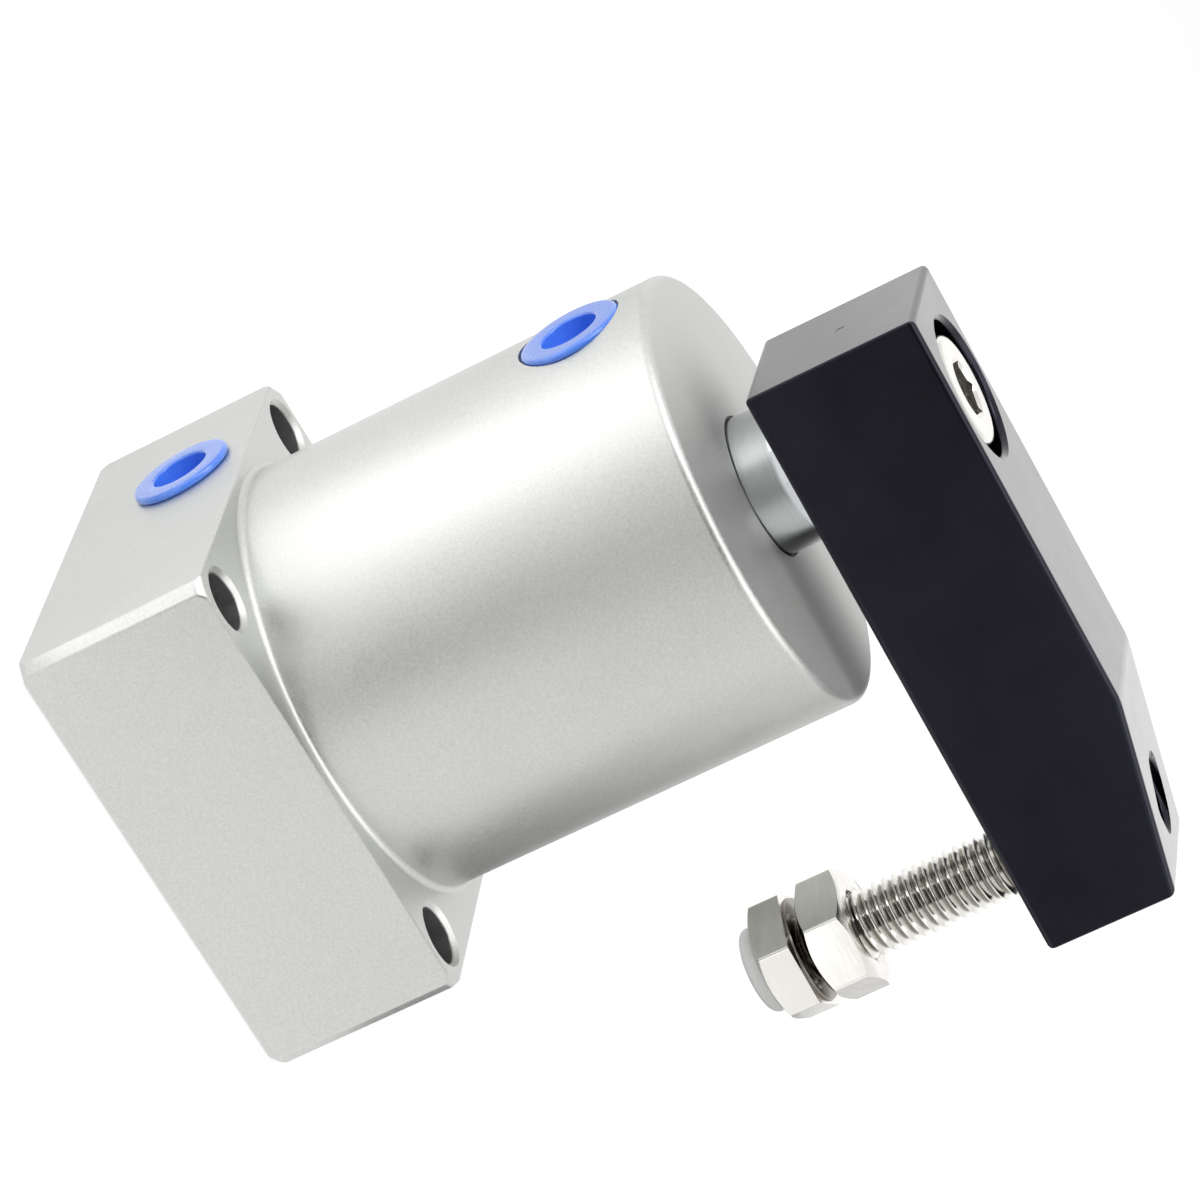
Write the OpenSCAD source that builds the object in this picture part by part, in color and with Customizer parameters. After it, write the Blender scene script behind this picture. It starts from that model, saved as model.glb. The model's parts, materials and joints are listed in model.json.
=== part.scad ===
// Swing clamp cylinder: the rod rises out of a square-based body, turns a quarter turn and swings the arm.
// Origin at the centre of the block's rear face, +Z towards the rod, +X along the block's side to the arm.
// Drawn clamped: rod down, arm over the work. Millimetres and degrees.

/* [Body] */
// Side of the square base block
block_side = 54; // [53:0.5:64]
// Height of the base block
block_height = 22.6; // [21.6:0.2:32]
// Chamfer on the four long edges of the block
block_chamfer = 1.2; // [0.6:0.1:2.2]
// Depth of the turned facets on the block's corners
corner_facet = 0.6; // [0.3:0.1:1.2]
// Outer diameter of the barrel
barrel_d = 50.5; // [48:0.5:52]
// Rounding of the barrel's front edge
barrel_edge = 1; // [0.4:0.1:2.5]
// Fillet between barrel and block
barrel_root = 0.8; // [0.3:0.1:1.2]
// Diameter of the piston bore
bore_d = 40; // [36:0.5:42]
// Thickness of the wall in front of the bore
front_wall = 14.6; // [14.2:0.2:20]

/* [Mounting holes] */
// Distance from the block's sides to the hole centres
hole_inset = 4.75; // [4.5:0.05:5.2]
// Diameter of the four mounting holes
hole_d = 6.6; // [5:0.1:7]
// Chamfer at the front mouths of the mounting holes
hole_mouth = 0.8; // [0.3:0.1:1]

/* [Ports and dust plugs] */
// Diameter of the air ports
port_d = 8.75; // [7.5:0.05:9.5]
// Depth of the ports before their narrow passages
port_depth = 6.2; // [4.4:0.1:6.2]
// Height of the rear port above the rear cap
rear_port_rise = 3.6; // [3.4:0.1:5]
// Sideways offset of the rear port
rear_port_side = 9; // [4:0.5:11]
// Distance of the front port from the barrel's front face
front_port_inset = 9.7; // [8.8:0.1:10]
// Diameter of the passages from the ports to the bore
passage_d = 4; // [3:0.1:4.6]
// Diameter of the dust plug's flange
plug_flange_d = 11.6; // [10.6:0.1:13]
// Thickness of the dust plug's flange
plug_flange_t = 0.9; // [0.6:0.1:1.4]
// Diameter of the dust plug's hollow
plug_hollow_d = 6.4; // [4:0.1:6.8]
// Room between the dust plug's end and the port's floor
plug_room = 0.4; // [0.2:0.1:1]
// Thickness of the dust plug's floor
plug_floor = 1; // [0.6:0.1:1.6]

/* [Rear cap] */
// Step from the piston bore to the cap's bore, each side
cap_step = 1; // [0.6:0.1:1.4]
// Thickness of the rear cap
cap_t = 7; // [6.5:0.1:8.5]
// Thickness of the lip behind the snap ring
ring_lip = 2; // [1.4:0.1:3]
// Thickness of the snap ring
ring_t = 1.5; // [1:0.1:2]
// Depth of the snap ring's groove
ring_depth = 1.2; // [0.8:0.1:1.5]
// Radial width of the snap ring
ring_w = 3.2; // [2.6:0.1:4]
// Radius of the snap ring's lugs
lug_r = 2.6; // [2:0.1:3]
// Section of the cap's O-ring
cap_o_ring_d = 2.2; // [1.6:0.1:2.6]
// Diameter of the key pin between cap and body
key_d = 2.5; // [1.5:0.1:3]
// Length of the key pin
key_l = 2.8; // [2:0.1:3]

/* [Guide spindle] */
// Diameter of the guide spindle
spindle_d = 8; // [7.4:0.1:8.6]
// Width of the helical grooves
groove_w = 3.6; // [3.5:0.05:4]
// Depth of the helical grooves
groove_depth = 1.6; // [1.2:0.1:1.8]
// Diameter of the drive pins
pin_d = 3; // [2:0.1:3.1]
// Height of the drive pins above the piston's rear face
pin_rise = 5; // [3:0.5:8]
// Diameter of the spindle's collar
collar_d = 13; // [11:0.5:13.5]
// Height of the spindle's collar
collar_h = 1.5; // [1:0.1:1.6]
// Diameter of the spindle's tail in the cap
tail_d = 7; // [6:0.1:7.4]
// Length of the spindle's tail in the cap
tail_l = 4; // [3:0.1:4.2]
// Thread diameter of the spindle's screw
spindle_screw_d = 4; // [3:0.1:4.2]
// Length of the spindle's screw
spindle_screw_l = 10; // [8:0.5:12]

/* [Piston] */
// Thickness of the piston
piston_t = 14; // [13:0.5:18]
// Width of the piston's seal grooves
seal_w = 2.6; // [2:0.1:3]
// Depth of the piston's seal grooves
seal_depth = 3.2; // [2.4:0.1:4]
// Land between the piston's faces and its seal grooves
seal_land = 1.2; // [0.8:0.1:1.6]
// Width of the wear ring
wear_w = 4; // [3:0.1:5]
// Thickness of the wear ring
wear_t = 1.5; // [1:0.1:2]
// Height of the piston nut
piston_nut_h = 5.4; // [4:0.1:7]
// Width of the piston nut across its flats
piston_nut_af = 19; // [17:0.5:20]
// Section of the O-ring between rod and piston
rod_o_ring_d = 1.5; // [1:0.1:2]
// Thickness of the rubber bumpers
bumper_t = 1.7; // [1.6:0.1:3]
// Radial width of the rubber bumpers
bumper_w = 5; // [3:0.5:6]

/* [Rod and its bearing] */
// Diameter of the rod
rod_d = 16; // [15:0.5:18]
// Diameter of the rod's tail in the piston
rod_tail_d = 13; // [12.5:0.1:14]
// Rod length that shows between body and arm
rod_show = 5.2; // [3:0.1:9]
// Chamfer on the rod's shoulder below the arm
rod_chamfer = 0.8; // [0.3:0.1:1.4]
// Diameter of the rod's nose in the arm
nose_d = 12; // [11:0.1:13]
// Height of the rod's nose in the arm
nose_h = 7.6; // [5:0.1:9]
// Depth of the flat on the rod's nose
nose_flat = 1; // [0.6:0.1:1.6]
// Wall of the rod bush
bush_wall = 2; // [1.5:0.1:2.5]
// Length of the rod bush
bush_l = 8; // [6:0.5:8]
// Radial width of the rod seal
rod_seal_w = 3.4; // [2.6:0.1:4]
// Height of the rod seal
rod_seal_h = 3; // [2:0.1:3.2]
// Radial width of the rod wiper
wiper_w = 2.4; // [1.8:0.1:3]
// Height of the rod wiper in its groove
wiper_h = 1.6; // [1:0.1:2]
// Width of the wiper's lip that shows round the rod
wiper_lip = 0.25; // [0.2:0.05:0.8]

/* [Arm] */
// Width of the arm
arm_w = 20; // [19:0.5:26]
// Height of the arm
arm_h = 20; // [18.5:0.5:26]
// Length of the arm behind the rod's axis
arm_back = 11.8; // [10:0.1:16]
// Length of the arm in front of the rod's axis
arm_reach = 58; // [57:0.5:80]
// Distance from the rod's axis to the start of the slope
slope_start = 35.5; // [20:0.5:40]
// Drop of the slope at the arm's end
slope_drop = 4.8; // [1:0.1:8]
// Chamfer on the arm's edges
arm_edge = 0.7; // [0.3:0.1:1.5]
// Turn of the arm from the block's side
arm_turn = -5; // [-15:1:15]
// Diameter of the counterbore for the arm screw
counterbore_d = 16; // [14:0.1:18]
// Chamfer on the counterbore's rim
counterbore_rim = 0.5; // [0.2:0.1:0.8]
// Depth of the arm screw's head below the arm's top
head_sink = 0.4; // [0.2:0.1:1.5]

/* [Arm screw] */
// Thread diameter of the arm screw
screw_d = 8; // [6:0.5:8]
// Length of the arm screw below its head
screw_l = 25; // [20:1:26]
// Diameter of the arm screw's head
screw_head_d = 13; // [11.5:0.1:13.5]
// Height of the arm screw's head
screw_head_h = 8; // [6:0.1:8.4]
// Width of the arm screw's socket across its flats
socket_af = 6; // [4:0.1:7]
// Depth of the arm screw's socket
socket_depth = 4; // [2.5:0.1:5]

/* [Clamp bolt] */
// Thread diameter of the clamp bolt
bolt_d = 8; // [6:0.5:9]
// Length of the clamp bolt above its head
bolt_l = 35; // [32:1:60]
// Distance from the rod's axis to the clamp bolt
bolt_reach = 50.2; // [46:0.1:51]
// Distance from the arm's underside down to the pad's face
pad_drop = 32.8; // [28:0.1:33]
// Width of the bolt head across its flats
bolt_head_af = 13; // [12:0.5:14]
// Height of the bolt head
bolt_head_h = 4.4; // [3.6:0.1:6]
// Height of the washer face on the bolt head
washer_face_h = 0.4; // [0.2:0.1:0.8]
// Turn of the bolt head's flats
bolt_head_turn = 1; // [-30:1:30]
// Width of the lock nut across its flats
lock_nut_af = 13; // [12:0.5:14]
// Height of the lock nut
lock_nut_h = 5.6; // [4:0.1:7]
// Gap between bolt head and lock nut
lock_nut_gap = 1.1; // [0.5:0.1:4]
// Turn of the lock nut's flats
lock_nut_turn = -5; // [-30:1:30]
// Diameter of the nylon pad
pad_d = 10; // [7:0.1:11]
// Height of the nylon pad below the bolt head
pad_h = 2; // [1.2:0.1:4]
// Diameter of the pad's stem in the bolt head
pad_stem_d = 4.5; // [3:0.1:5]
// Length of the pad's stem
pad_stem_l = 3; // [2:0.1:4]

/* [Motion] */
// Travel of the rod from clamped to open
stroke = 24; // [16:1:40]
// Turn of the arm over the whole travel
swing = 90; // [60:5:120]

/* [Fits] */
// Radial clearance between pieces that slide or turn on each other
running = 0.05; // [0.02:0.01:0.08]
// Radial clearance of threads and of pieces that sit in a seat
seat_play = 0.03; // [0.01:0.01:0.06]
// Axial play of the piston between the rod's shoulder and its nut
axial_play = 0.1; // [0.05:0.05:0.2]
// Gap between a moving piece and its rubber stop
stop_gap = 0.3; // [0.2:0.1:0.6]

/* [Hidden] */
$fn = 96;

// Overshoot of every cutter past the face it cuts
cut = 1;
// Overlap that lets two forms join without a seam
seam = 0.05;
// Wall left between two neighbouring grooves
groove_wall = 0.6;
// Room around a rubber section in its groove, as a share of the section
groove_share = 1.2;
// Clearance beyond the end of a part in a blind hole
blind_room = 1.5;
// Share of a lip seal's width taken by each side of its notch
notch_share = 0.22;
// Share of a lip seal's height below its notch
heel_share = 0.4;
// Flat on the spindle's tail as a share of its diameter
flat_share = 0.12;
// Socket of a countersunk screw as a share of its thread
small_socket_share = 0.625;
// Hole in a snap ring's lug as a share of the lug
lug_hole_share = 0.4;
// Half the angle of the snap ring's opening, and the angle of its lugs
ring_gap_angle = 6;
lug_angle = 9;
// Rounding of the arm screw's head
head_edge = 0.8;
// Point on the clamp bolt's end
bolt_tip = 1;
// Rounding of the pad's lower edge as a share of its height
pad_edge_share = 0.4;
// Clearance of the arm screw in the arm
screw_play = 0.3;
// Share of the flats' width that the chamfer of a hex leaves flat
hex_face = 0.94;
// Slope of the chamfer on a hex
hex_slope = tan(30);

// Heights of the stack along the axis, from the rear face to the front face
cap_z0 = ring_lip + ring_t;
cap_z1 = cap_z0 + cap_t;
nut_z0 = cap_z1 + bumper_t + stop_gap;
nut_z1 = nut_z0 + piston_nut_h;
piston_z0 = nut_z1 + axial_play;
piston_z1 = piston_z0 + piston_t;
shoulder_z = piston_z1 + axial_play;
bore_z1 = piston_z1 + stroke + stop_gap + bumper_t;
body_h = bore_z1 + front_wall;

// Ports
rear_port_z = cap_z1 + rear_port_rise;
front_port_z = body_h - front_port_inset;
bore_chord = sqrt(pow(bore_d / 2 + cap_step, 2) - pow(rear_port_side - port_d / 2, 2));
port_l = min(port_depth, block_side / 2 - bore_chord - stop_gap);
plug_length = port_l - plug_room;
spot_d = plug_flange_d + 2 * stop_gap;
spot_x = sqrt(pow(barrel_d / 2, 2) - pow(spot_d / 2, 2)) - 2 * seam;
front_passage_r = bore_d / 2 - passage_d / 2 - stop_gap;
front_port_floor_x = min(front_passage_r, spot_x - port_l);

// Rear cap and its ring
cap_bore_d = bore_d + 2 * cap_step;
ring_groove_r = cap_bore_d / 2 + ring_depth;
cap_groove_w = cap_o_ring_d * groove_share;
cap_groove_z = cap_z0 + (cap_t + key_l - cap_groove_w) / 2;
tail_z0 = cap_z1 - tail_l;
tail_flat = tail_d * flat_share;
spindle_head_d = spindle_screw_d * 2;
spindle_head_h = (spindle_head_d - spindle_screw_d) / 2;

// Drive pins, grooves and the spindle's end
pin_z = piston_z0 + pin_rise;
pin_tip_r = spindle_d / 2 - groove_depth + stop_gap;
groove_run = pin_d / 2 + 2 * stop_gap;
spindle_z1 = pin_z + stroke + groove_run + blind_room;
rod_hollow_d = spindle_d + 4 * running;
rod_hollow_z1 = spindle_z1 + blind_room;
turn_per_mm = swing / stroke;

// Piston grooves
piston_seal_r = bore_d / 2 - seal_depth + seat_play;
seal_rear_z = piston_z0 + seal_land;
seal_front_z = piston_z1 - seal_land - seal_w;
wear_z = (piston_z0 + piston_z1 - wear_w) / 2;
rod_groove_w = rod_o_ring_d * groove_share;
rod_groove_z = piston_z1 - seal_land - rod_groove_w;

// Front bearing and seals
bush_d = rod_d + 2 * running + 2 * bush_wall;
rod_seal_z = bore_z1 + bush_l + groove_wall;
rod_seal_r = rod_d / 2 + rod_seal_w;
wiper_z = rod_seal_z + rod_seal_h + groove_wall;
wiper_r = rod_d / 2 + wiper_w;
mouth_d = rod_d + 2 * running + 2 * wiper_lip;

// Arm, its screw and the clamp bolt
arm_z0 = body_h + rod_show;
arm_z1 = arm_z0 + arm_h;
head_seat_z = arm_z1 - head_sink - screw_head_h;
screw_z0 = head_seat_z - screw_l;
pad_z = arm_z0 - pad_drop;
bolt_head_z = pad_z + pad_h;
bolt_seat_z = bolt_head_z + bolt_head_h + washer_face_h;
lock_nut_z = bolt_seat_z + lock_nut_gap;

// Finishes
anodised = [0.80, 0.80, 0.78];
steel = [0.72, 0.73, 0.74];
nickel = [0.78, 0.75, 0.69];
black = [0.10, 0.10, 0.12];
rubber = [0.07, 0.07, 0.07];
blue = [0.30, 0.48, 0.95];
white = [0.93, 0.93, 0.92];
bronze = [0.66, 0.48, 0.28];

// A ring from z0 to z1
module ring(r_in, r_out, z0, z1) {
    translate([0, 0, z0]) difference() {
        cylinder(r = r_out, h = z1 - z0);
        translate([0, 0, -cut]) cylinder(r = r_in, h = z1 - z0 + 2 * cut);
    }
}

// A round rubber ring of section d about the radius r at height z
module o_ring(r, d, z) {
    translate([0, 0, z]) rotate_extrude() translate([r, 0]) circle(d = d);
}

// A seal of width w with a notch that parts its lips, open towards +Z or, turned, towards -Z
module lip_seal(r_in, r_out, w, z, turned = false) {
    mid = (r_in + r_out) / 2;
    notch = (r_out - r_in) * notch_share;
    translate([0, 0, turned ? z + w : z]) mirror([0, 0, turned ? 1 : 0]) rotate_extrude()
        polygon([
            [r_in, 0], [r_out, 0], [r_out, w], [mid + notch, w],
            [mid, w * heel_share], [mid - notch, w], [r_in, w]
        ]);
}

// A hex of width af across its flats, with turned chamfers on the ends asked for
module turned_hex(af, h, low = true, high = true) {
    corner = af / sqrt(3) + seam;
    face = af / 2 * hex_face;
    drop = (corner - face) * hex_slope;
    intersection() {
        cylinder(d = af * 2 / sqrt(3), h = h, $fn = 6);
        rotate_extrude() polygon([
            [0, 0], [low ? face : corner, 0], [corner, low ? drop : 0],
            [corner, high ? h - drop : h], [high ? face : corner, h], [0, h]
        ]);
    }
}

// A hole along Z with a chamfered mouth at its top end
module mouthed_hole(d, z0, z1, mouth) {
    translate([0, 0, z0]) cylinder(d = d, h = z1 - z0 + cut);
    translate([0, 0, z1 - mouth]) cylinder(d1 = d, d2 = d + 2 * (mouth + cut), h = mouth + cut);
}

// Places its children at the four mounting holes
module at_mounting_holes() {
    at = block_side / 2 - hole_inset;
    for (x = [-at, at], y = [-at, at]) translate([x, y, 0]) children();
}

// Turns its children with the arm
module on_arm() {
    rotate([0, 0, arm_turn]) children();
}

// Places its children on the clamp bolt's axis
module on_bolt() {
    on_arm() translate([bolt_reach, 0, 0]) children();
}

// Turns +Z outwards along -X, with the origin at x on the side face
module on_port(x, y, z) {
    translate([-x, y, z]) rotate([0, -90, 0]) children();
}

// Square of side s with cut corners
module chamfered_square(s, c) {
    h = s / 2;
    polygon([for (q = [0:3]) each [
        for (p = [[h, h - c], [h - c, h]])
            [p[0] * cos(90 * q) - p[1] * sin(90 * q), p[0] * sin(90 * q) + p[1] * cos(90 * q)]
    ]]);
}

// Base block with chamfered edges and turned corner facets
module block() {
    long_r = norm([block_side / 2, block_side / 2 - block_chamfer]) + seam;
    facet_r = long_r - corner_facet;
    intersection() {
        linear_extrude(block_height) chamfered_square(block_side, block_chamfer);
        rotate_extrude() polygon([
            [0, 0], [facet_r, 0], [long_r, corner_facet],
            [long_r, block_height - corner_facet], [facet_r, block_height], [0, block_height]
        ]);
    }
}

// Outer form of the barrel, with a rounded front edge and a fillet on the block
module barrel() {
    r = barrel_d / 2;
    root_z = block_height - seam;
    rotate_extrude() {
        translate([0, root_z]) square([r - barrel_edge, body_h - root_z]);
        translate([0, root_z]) square([r, body_h - barrel_edge - root_z]);
        translate([r - barrel_edge, body_h - barrel_edge]) intersection() {
            circle(barrel_edge);
            square(barrel_edge);
        }
        translate([r - cut, root_z]) difference() {
            square([barrel_root + cut, barrel_root + seam]);
            translate([barrel_root + cut, barrel_root + seam]) circle(barrel_root);
        }
    }
}

// Bore with the cap's step and the snap ring's groove
module bore_cut() {
    translate([0, 0, -cut]) cylinder(d = bore_d, h = bore_z1 + cut);
    translate([0, 0, -cut]) cylinder(d = cap_bore_d, h = cap_z1 + cut);
    translate([0, 0, ring_lip]) cylinder(r = ring_groove_r, h = ring_t);
    translate([0, cap_bore_d / 2, cap_z0]) cylinder(d = key_d + 2 * seat_play, h = key_l + seat_play);
}

// Seats of the bush, the seal and the wiper, and the rod's mouth
module gland_cut() {
    translate([0, 0, bore_z1 - cut]) cylinder(d = bush_d, h = bush_l + cut);
    translate([0, 0, bore_z1 - cut]) cylinder(d = mouth_d, h = front_wall + 2 * cut);
    translate([0, 0, rod_seal_z]) cylinder(r = rod_seal_r, h = rod_seal_h);
    translate([0, 0, wiper_z]) cylinder(r = wiper_r, h = wiper_h);
}

// Rear port in the block, with its passage into the space behind the piston
module rear_port_cut() {
    on_port(block_side / 2, rear_port_side, rear_port_z) {
        translate([0, 0, -port_l]) cylinder(d = port_d, h = port_l + cut);
        translate([0, 0, -block_side / 2]) cylinder(d = passage_d, h = block_side / 2);
    }
}

// Front port in the barrel, with its spot face and a passage down into the bore
module front_port_cut() {
    on_port(spot_x, 0, front_port_z) {
        cylinder(d = spot_d, h = barrel_d / 2);
        translate([0, 0, front_port_floor_x - spot_x])
            cylinder(d = port_d, h = spot_x - front_port_floor_x + cut);
    }
    translate([-front_passage_r, 0, bore_z1 - cut])
        cylinder(d = passage_d, h = front_port_z - bore_z1 + cut);
}

module cylinder_body() {
    color(anodised) difference() {
        union() {
            block();
            barrel();
        }
        bore_cut();
        gland_cut();
        rear_port_cut();
        front_port_cut();
        at_mounting_holes() mouthed_hole(hole_d, -cut, block_height, hole_mouth);
    }
}

module rear_cap() {
    r = cap_bore_d / 2 - seat_play;
    groove_r = cap_bore_d / 2 - cap_o_ring_d - 2 * seat_play;
    color(anodised) difference() {
        translate([0, 0, cap_z0]) cylinder(r = r, h = cap_t);
        ring(groove_r, r + cut, cap_groove_z, cap_groove_z + cap_groove_w);
        translate([0, 0, tail_z0]) difference() {
            cylinder(d = tail_d + 2 * seat_play, h = tail_l + cut);
            translate([tail_d / 2 - tail_flat + seat_play, -tail_d, -cut])
                cube([tail_d, 2 * tail_d, tail_l + 3 * cut]);
        }
        translate([0, 0, cap_z0 - cut]) cylinder(d = spindle_screw_d + 2 * seat_play, h = cap_t);
        translate([0, 0, cap_z0 - cut])
            cylinder(d1 = spindle_head_d + 2 * (cut + seat_play), d2 = spindle_screw_d + 2 * seat_play,
                h = spindle_head_h + cut);
        translate([0, cap_bore_d / 2, cap_z0 - cut])
            cylinder(d = key_d + 2 * seat_play, h = key_l + cut + seat_play);
    }
}

module cap_o_ring() {
    r = cap_bore_d / 2 - cap_o_ring_d / 2 - seat_play;
    color(rubber) o_ring(r, cap_o_ring_d, cap_groove_z + cap_groove_w / 2);
}

// Open ring with two lugs for ring pliers
module snap_ring() {
    r_out = ring_groove_r - 2 * seat_play;
    r_in = r_out - ring_w;
    lug_at = r_in - lug_r / 2;
    gap_x = 2 * r_out * sin(ring_gap_angle);
    color(steel) translate([0, 0, ring_lip]) linear_extrude(ring_t) difference() {
        union() {
            difference() {
                circle(r_out);
                circle(r_in);
                polygon([[0, 0], [-gap_x, -2 * r_out], [gap_x, -2 * r_out]]);
            }
            for (s = [-1, 1]) rotate(s * lug_angle) translate([0, -lug_at]) circle(lug_r);
        }
        for (s = [-1, 1]) rotate(s * lug_angle) translate([0, -lug_at]) circle(lug_r * lug_hole_share);
    }
}

module cap_key() {
    color(steel) translate([0, cap_bore_d / 2, cap_z0]) cylinder(d = key_d, h = key_l);
}

// Helical cutter that follows a drive pin from clamped to open
module groove_cutter(turn) {
    length = stroke + 2 * groove_run;
    bottom_r = spindle_d / 2 - groove_depth;
    translate([0, 0, pin_z - groove_run]) rotate([0, 0, turn - groove_run * turn_per_mm])
        linear_extrude(length, twist = -length * turn_per_mm, slices = 30, segments = 8)
            translate([bottom_r, -groove_w / 2]) square([groove_depth + cut, groove_w]);
}

module guide_spindle() {
    color(steel) difference() {
        union() {
            translate([0, 0, cap_z1]) cylinder(d = spindle_d, h = spindle_z1 - cap_z1);
            translate([0, 0, cap_z1]) cylinder(d = collar_d, h = collar_h);
            translate([0, 0, tail_z0]) difference() {
                cylinder(d = tail_d, h = tail_l);
                translate([tail_d / 2 - tail_flat, -tail_d, -cut]) cube([tail_d, 2 * tail_d, tail_l + cut]);
            }
        }
        for (turn = [0, 180]) groove_cutter(turn);
        translate([0, 0, tail_z0 - cut])
            cylinder(d = spindle_screw_d + 2 * seat_play, h = cap_z0 + spindle_screw_l + 2 * cut - tail_z0);
    }
}

module spindle_screw() {
    small_socket_d = spindle_screw_d * small_socket_share * 2 / sqrt(3);
    color(nickel) translate([0, 0, cap_z0]) difference() {
        union() {
            cylinder(d1 = spindle_head_d, d2 = spindle_screw_d, h = spindle_head_h);
            cylinder(d = spindle_screw_d, h = spindle_screw_l);
        }
        translate([0, 0, -cut]) cylinder(d = small_socket_d, h = spindle_head_h + cut, $fn = 6);
    }
}

module rear_bumper() {
    r_in = collar_d / 2 + stop_gap;
    color(rubber) ring(r_in, r_in + bumper_w, cap_z1, cap_z1 + bumper_t);
}

module front_bumper() {
    r_in = rod_d / 2 + stop_gap;
    color(rubber) ring(r_in, r_in + bumper_w, bore_z1 - bumper_t, bore_z1);
}

module rod_bush() {
    color(bronze) ring(rod_d / 2 + running, bush_d / 2 - seat_play, bore_z1, bore_z1 + bush_l);
}

module rod_seal() {
    color(rubber)
        lip_seal(rod_d / 2 + running, rod_seal_r - seat_play, rod_seal_h, rod_seal_z, turned = true);
}

// Ring in its groove, with a lip that fills the rod's mouth
module rod_wiper() {
    r_in = rod_d / 2 + running;
    lip_top = body_h - stop_gap / 2;
    color(rubber) rotate_extrude() polygon([
        [r_in, wiper_z], [wiper_r - seat_play, wiper_z], [wiper_r - seat_play, wiper_z + wiper_h],
        [mouth_d / 2 - seat_play, wiper_z + wiper_h], [mouth_d / 2 - seat_play, lip_top],
        [r_in, lip_top], [r_in + wiper_lip / 3, wiper_z + wiper_h / 2]
    ]);
}

// Hollow cup with a round-edged flange, mouth outwards
module dust_plug() {
    r = port_d / 2 - seat_play;
    rim = plug_flange_t / 2;
    color(blue) rotate_extrude() difference() {
        union() {
            translate([0, -plug_length]) square([r, plug_length + rim]);
            square([plug_flange_d / 2 - rim, plug_flange_t]);
            translate([plug_flange_d / 2 - rim, rim]) circle(rim);
        }
        translate([0, plug_floor - plug_length]) square([plug_hollow_d / 2, plug_length + plug_flange_t]);
        translate([-plug_flange_d, -plug_length - cut])
            square([plug_flange_d, plug_length + plug_flange_t + 2 * cut]);
    }
}

module port_plug_rear() {
    on_port(block_side / 2, rear_port_side, rear_port_z) dust_plug();
}

module port_plug_front() {
    on_port(spot_x, 0, front_port_z) dust_plug();
}

module piston() {
    r = bore_d / 2 - running;
    tail_bore = rod_tail_d + 2 * running;
    color(anodised) difference() {
        translate([0, 0, piston_z0]) cylinder(r = r, h = piston_t);
        translate([0, 0, piston_z0 - cut]) cylinder(d = tail_bore, h = piston_t + 2 * cut);
        for (z = [seal_rear_z, seal_front_z]) ring(bore_d / 2 - seal_depth, r + cut, z, z + seal_w);
        ring(bore_d / 2 - wear_t - seat_play, r + cut, wear_z, wear_z + wear_w);
        translate([0, 0, rod_groove_z]) cylinder(d = tail_bore + 2 * rod_o_ring_d, h = rod_groove_w);
    }
}

module piston_seal_rear() {
    color(rubber) lip_seal(piston_seal_r, bore_d / 2 - running, seal_w, seal_rear_z, turned = true);
}

module piston_seal_front() {
    color(rubber) lip_seal(piston_seal_r, bore_d / 2 - running, seal_w, seal_front_z);
}

module wear_ring() {
    color(white) ring(bore_d / 2 - wear_t, bore_d / 2 - running, wear_z, wear_z + wear_w);
}

module rod_o_ring() {
    r = rod_tail_d / 2 + running + rod_o_ring_d / 2;
    color(rubber) o_ring(r, rod_o_ring_d, rod_groove_z + rod_groove_w / 2);
}

// Rod with a hollow for the spindle, a tail in the piston and a flatted nose in the arm
module piston_rod() {
    screw_hole_z = screw_z0 - blind_room;
    color(steel) difference() {
        union() {
            translate([0, 0, nut_z0]) cylinder(d = rod_tail_d, h = shoulder_z - nut_z0);
            translate([0, 0, shoulder_z]) cylinder(d = rod_d, h = arm_z0 - rod_chamfer - shoulder_z);
            translate([0, 0, arm_z0 - rod_chamfer])
                cylinder(d1 = rod_d, d2 = rod_d - 2 * rod_chamfer, h = rod_chamfer);
            on_arm() nose(nose_d, nose_h, nose_flat);
        }
        translate([0, 0, nut_z0 - cut]) cylinder(d = rod_hollow_d, h = rod_hollow_z1 - nut_z0 + cut);
        translate([0, 0, screw_hole_z])
            cylinder(d = screw_d + 2 * seat_play, h = arm_z0 + nose_h - screw_hole_z + cut);
        translate([-rod_d, 0, pin_z]) rotate([0, 90, 0]) cylinder(d = pin_d + 2 * seat_play, h = 2 * rod_d);
    }
}

// Flatted nose on the rod's shoulder, also the socket in the arm
module nose(d, h, flat) {
    translate([0, 0, arm_z0 - cut]) difference() {
        cylinder(d = d, h = h + cut);
        translate([-d - d / 2 + flat, -d, -cut]) cube([d, 2 * d, h + 3 * cut]);
    }
}

module piston_nut() {
    color(steel) translate([0, 0, nut_z0]) difference() {
        turned_hex(piston_nut_af, piston_nut_h);
        translate([0, 0, -cut]) cylinder(d = rod_tail_d + 2 * seat_play, h = piston_nut_h + 2 * cut);
    }
}

// Two pins that stand in the rod's tail and run in the spindle's grooves
module drive_pins() {
    outer_r = sqrt(pow(rod_tail_d / 2, 2) - pow(pin_d / 2, 2)) - seat_play;
    length = outer_r - pin_tip_r;
    color(steel) for (turn = [0, 180]) rotate([0, 0, turn])
        translate([pin_tip_r, 0, pin_z]) rotate([0, 90, 0]) cylinder(d = pin_d, h = length);
}

// Side view of the arm, drawn smaller by inset all round
module arm_outline(inset) {
    offset(delta = -inset) polygon([
        [-arm_back, 0], [arm_reach, 0], [arm_reach, arm_h - slope_drop],
        [slope_start, arm_h], [-arm_back, arm_h]
    ]);
}

// Bar with a sloping nose and chamfered edges
module arm_bar() {
    hull() {
        for (inset = [0, arm_edge]) translate([0, arm_w / 2 - arm_edge + inset, 0]) rotate([90, 0, 0])
            linear_extrude(arm_w - 2 * arm_edge + 2 * inset)
                offset(delta = arm_edge - inset, chamfer = true) arm_outline(arm_edge);
    }
}

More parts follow.
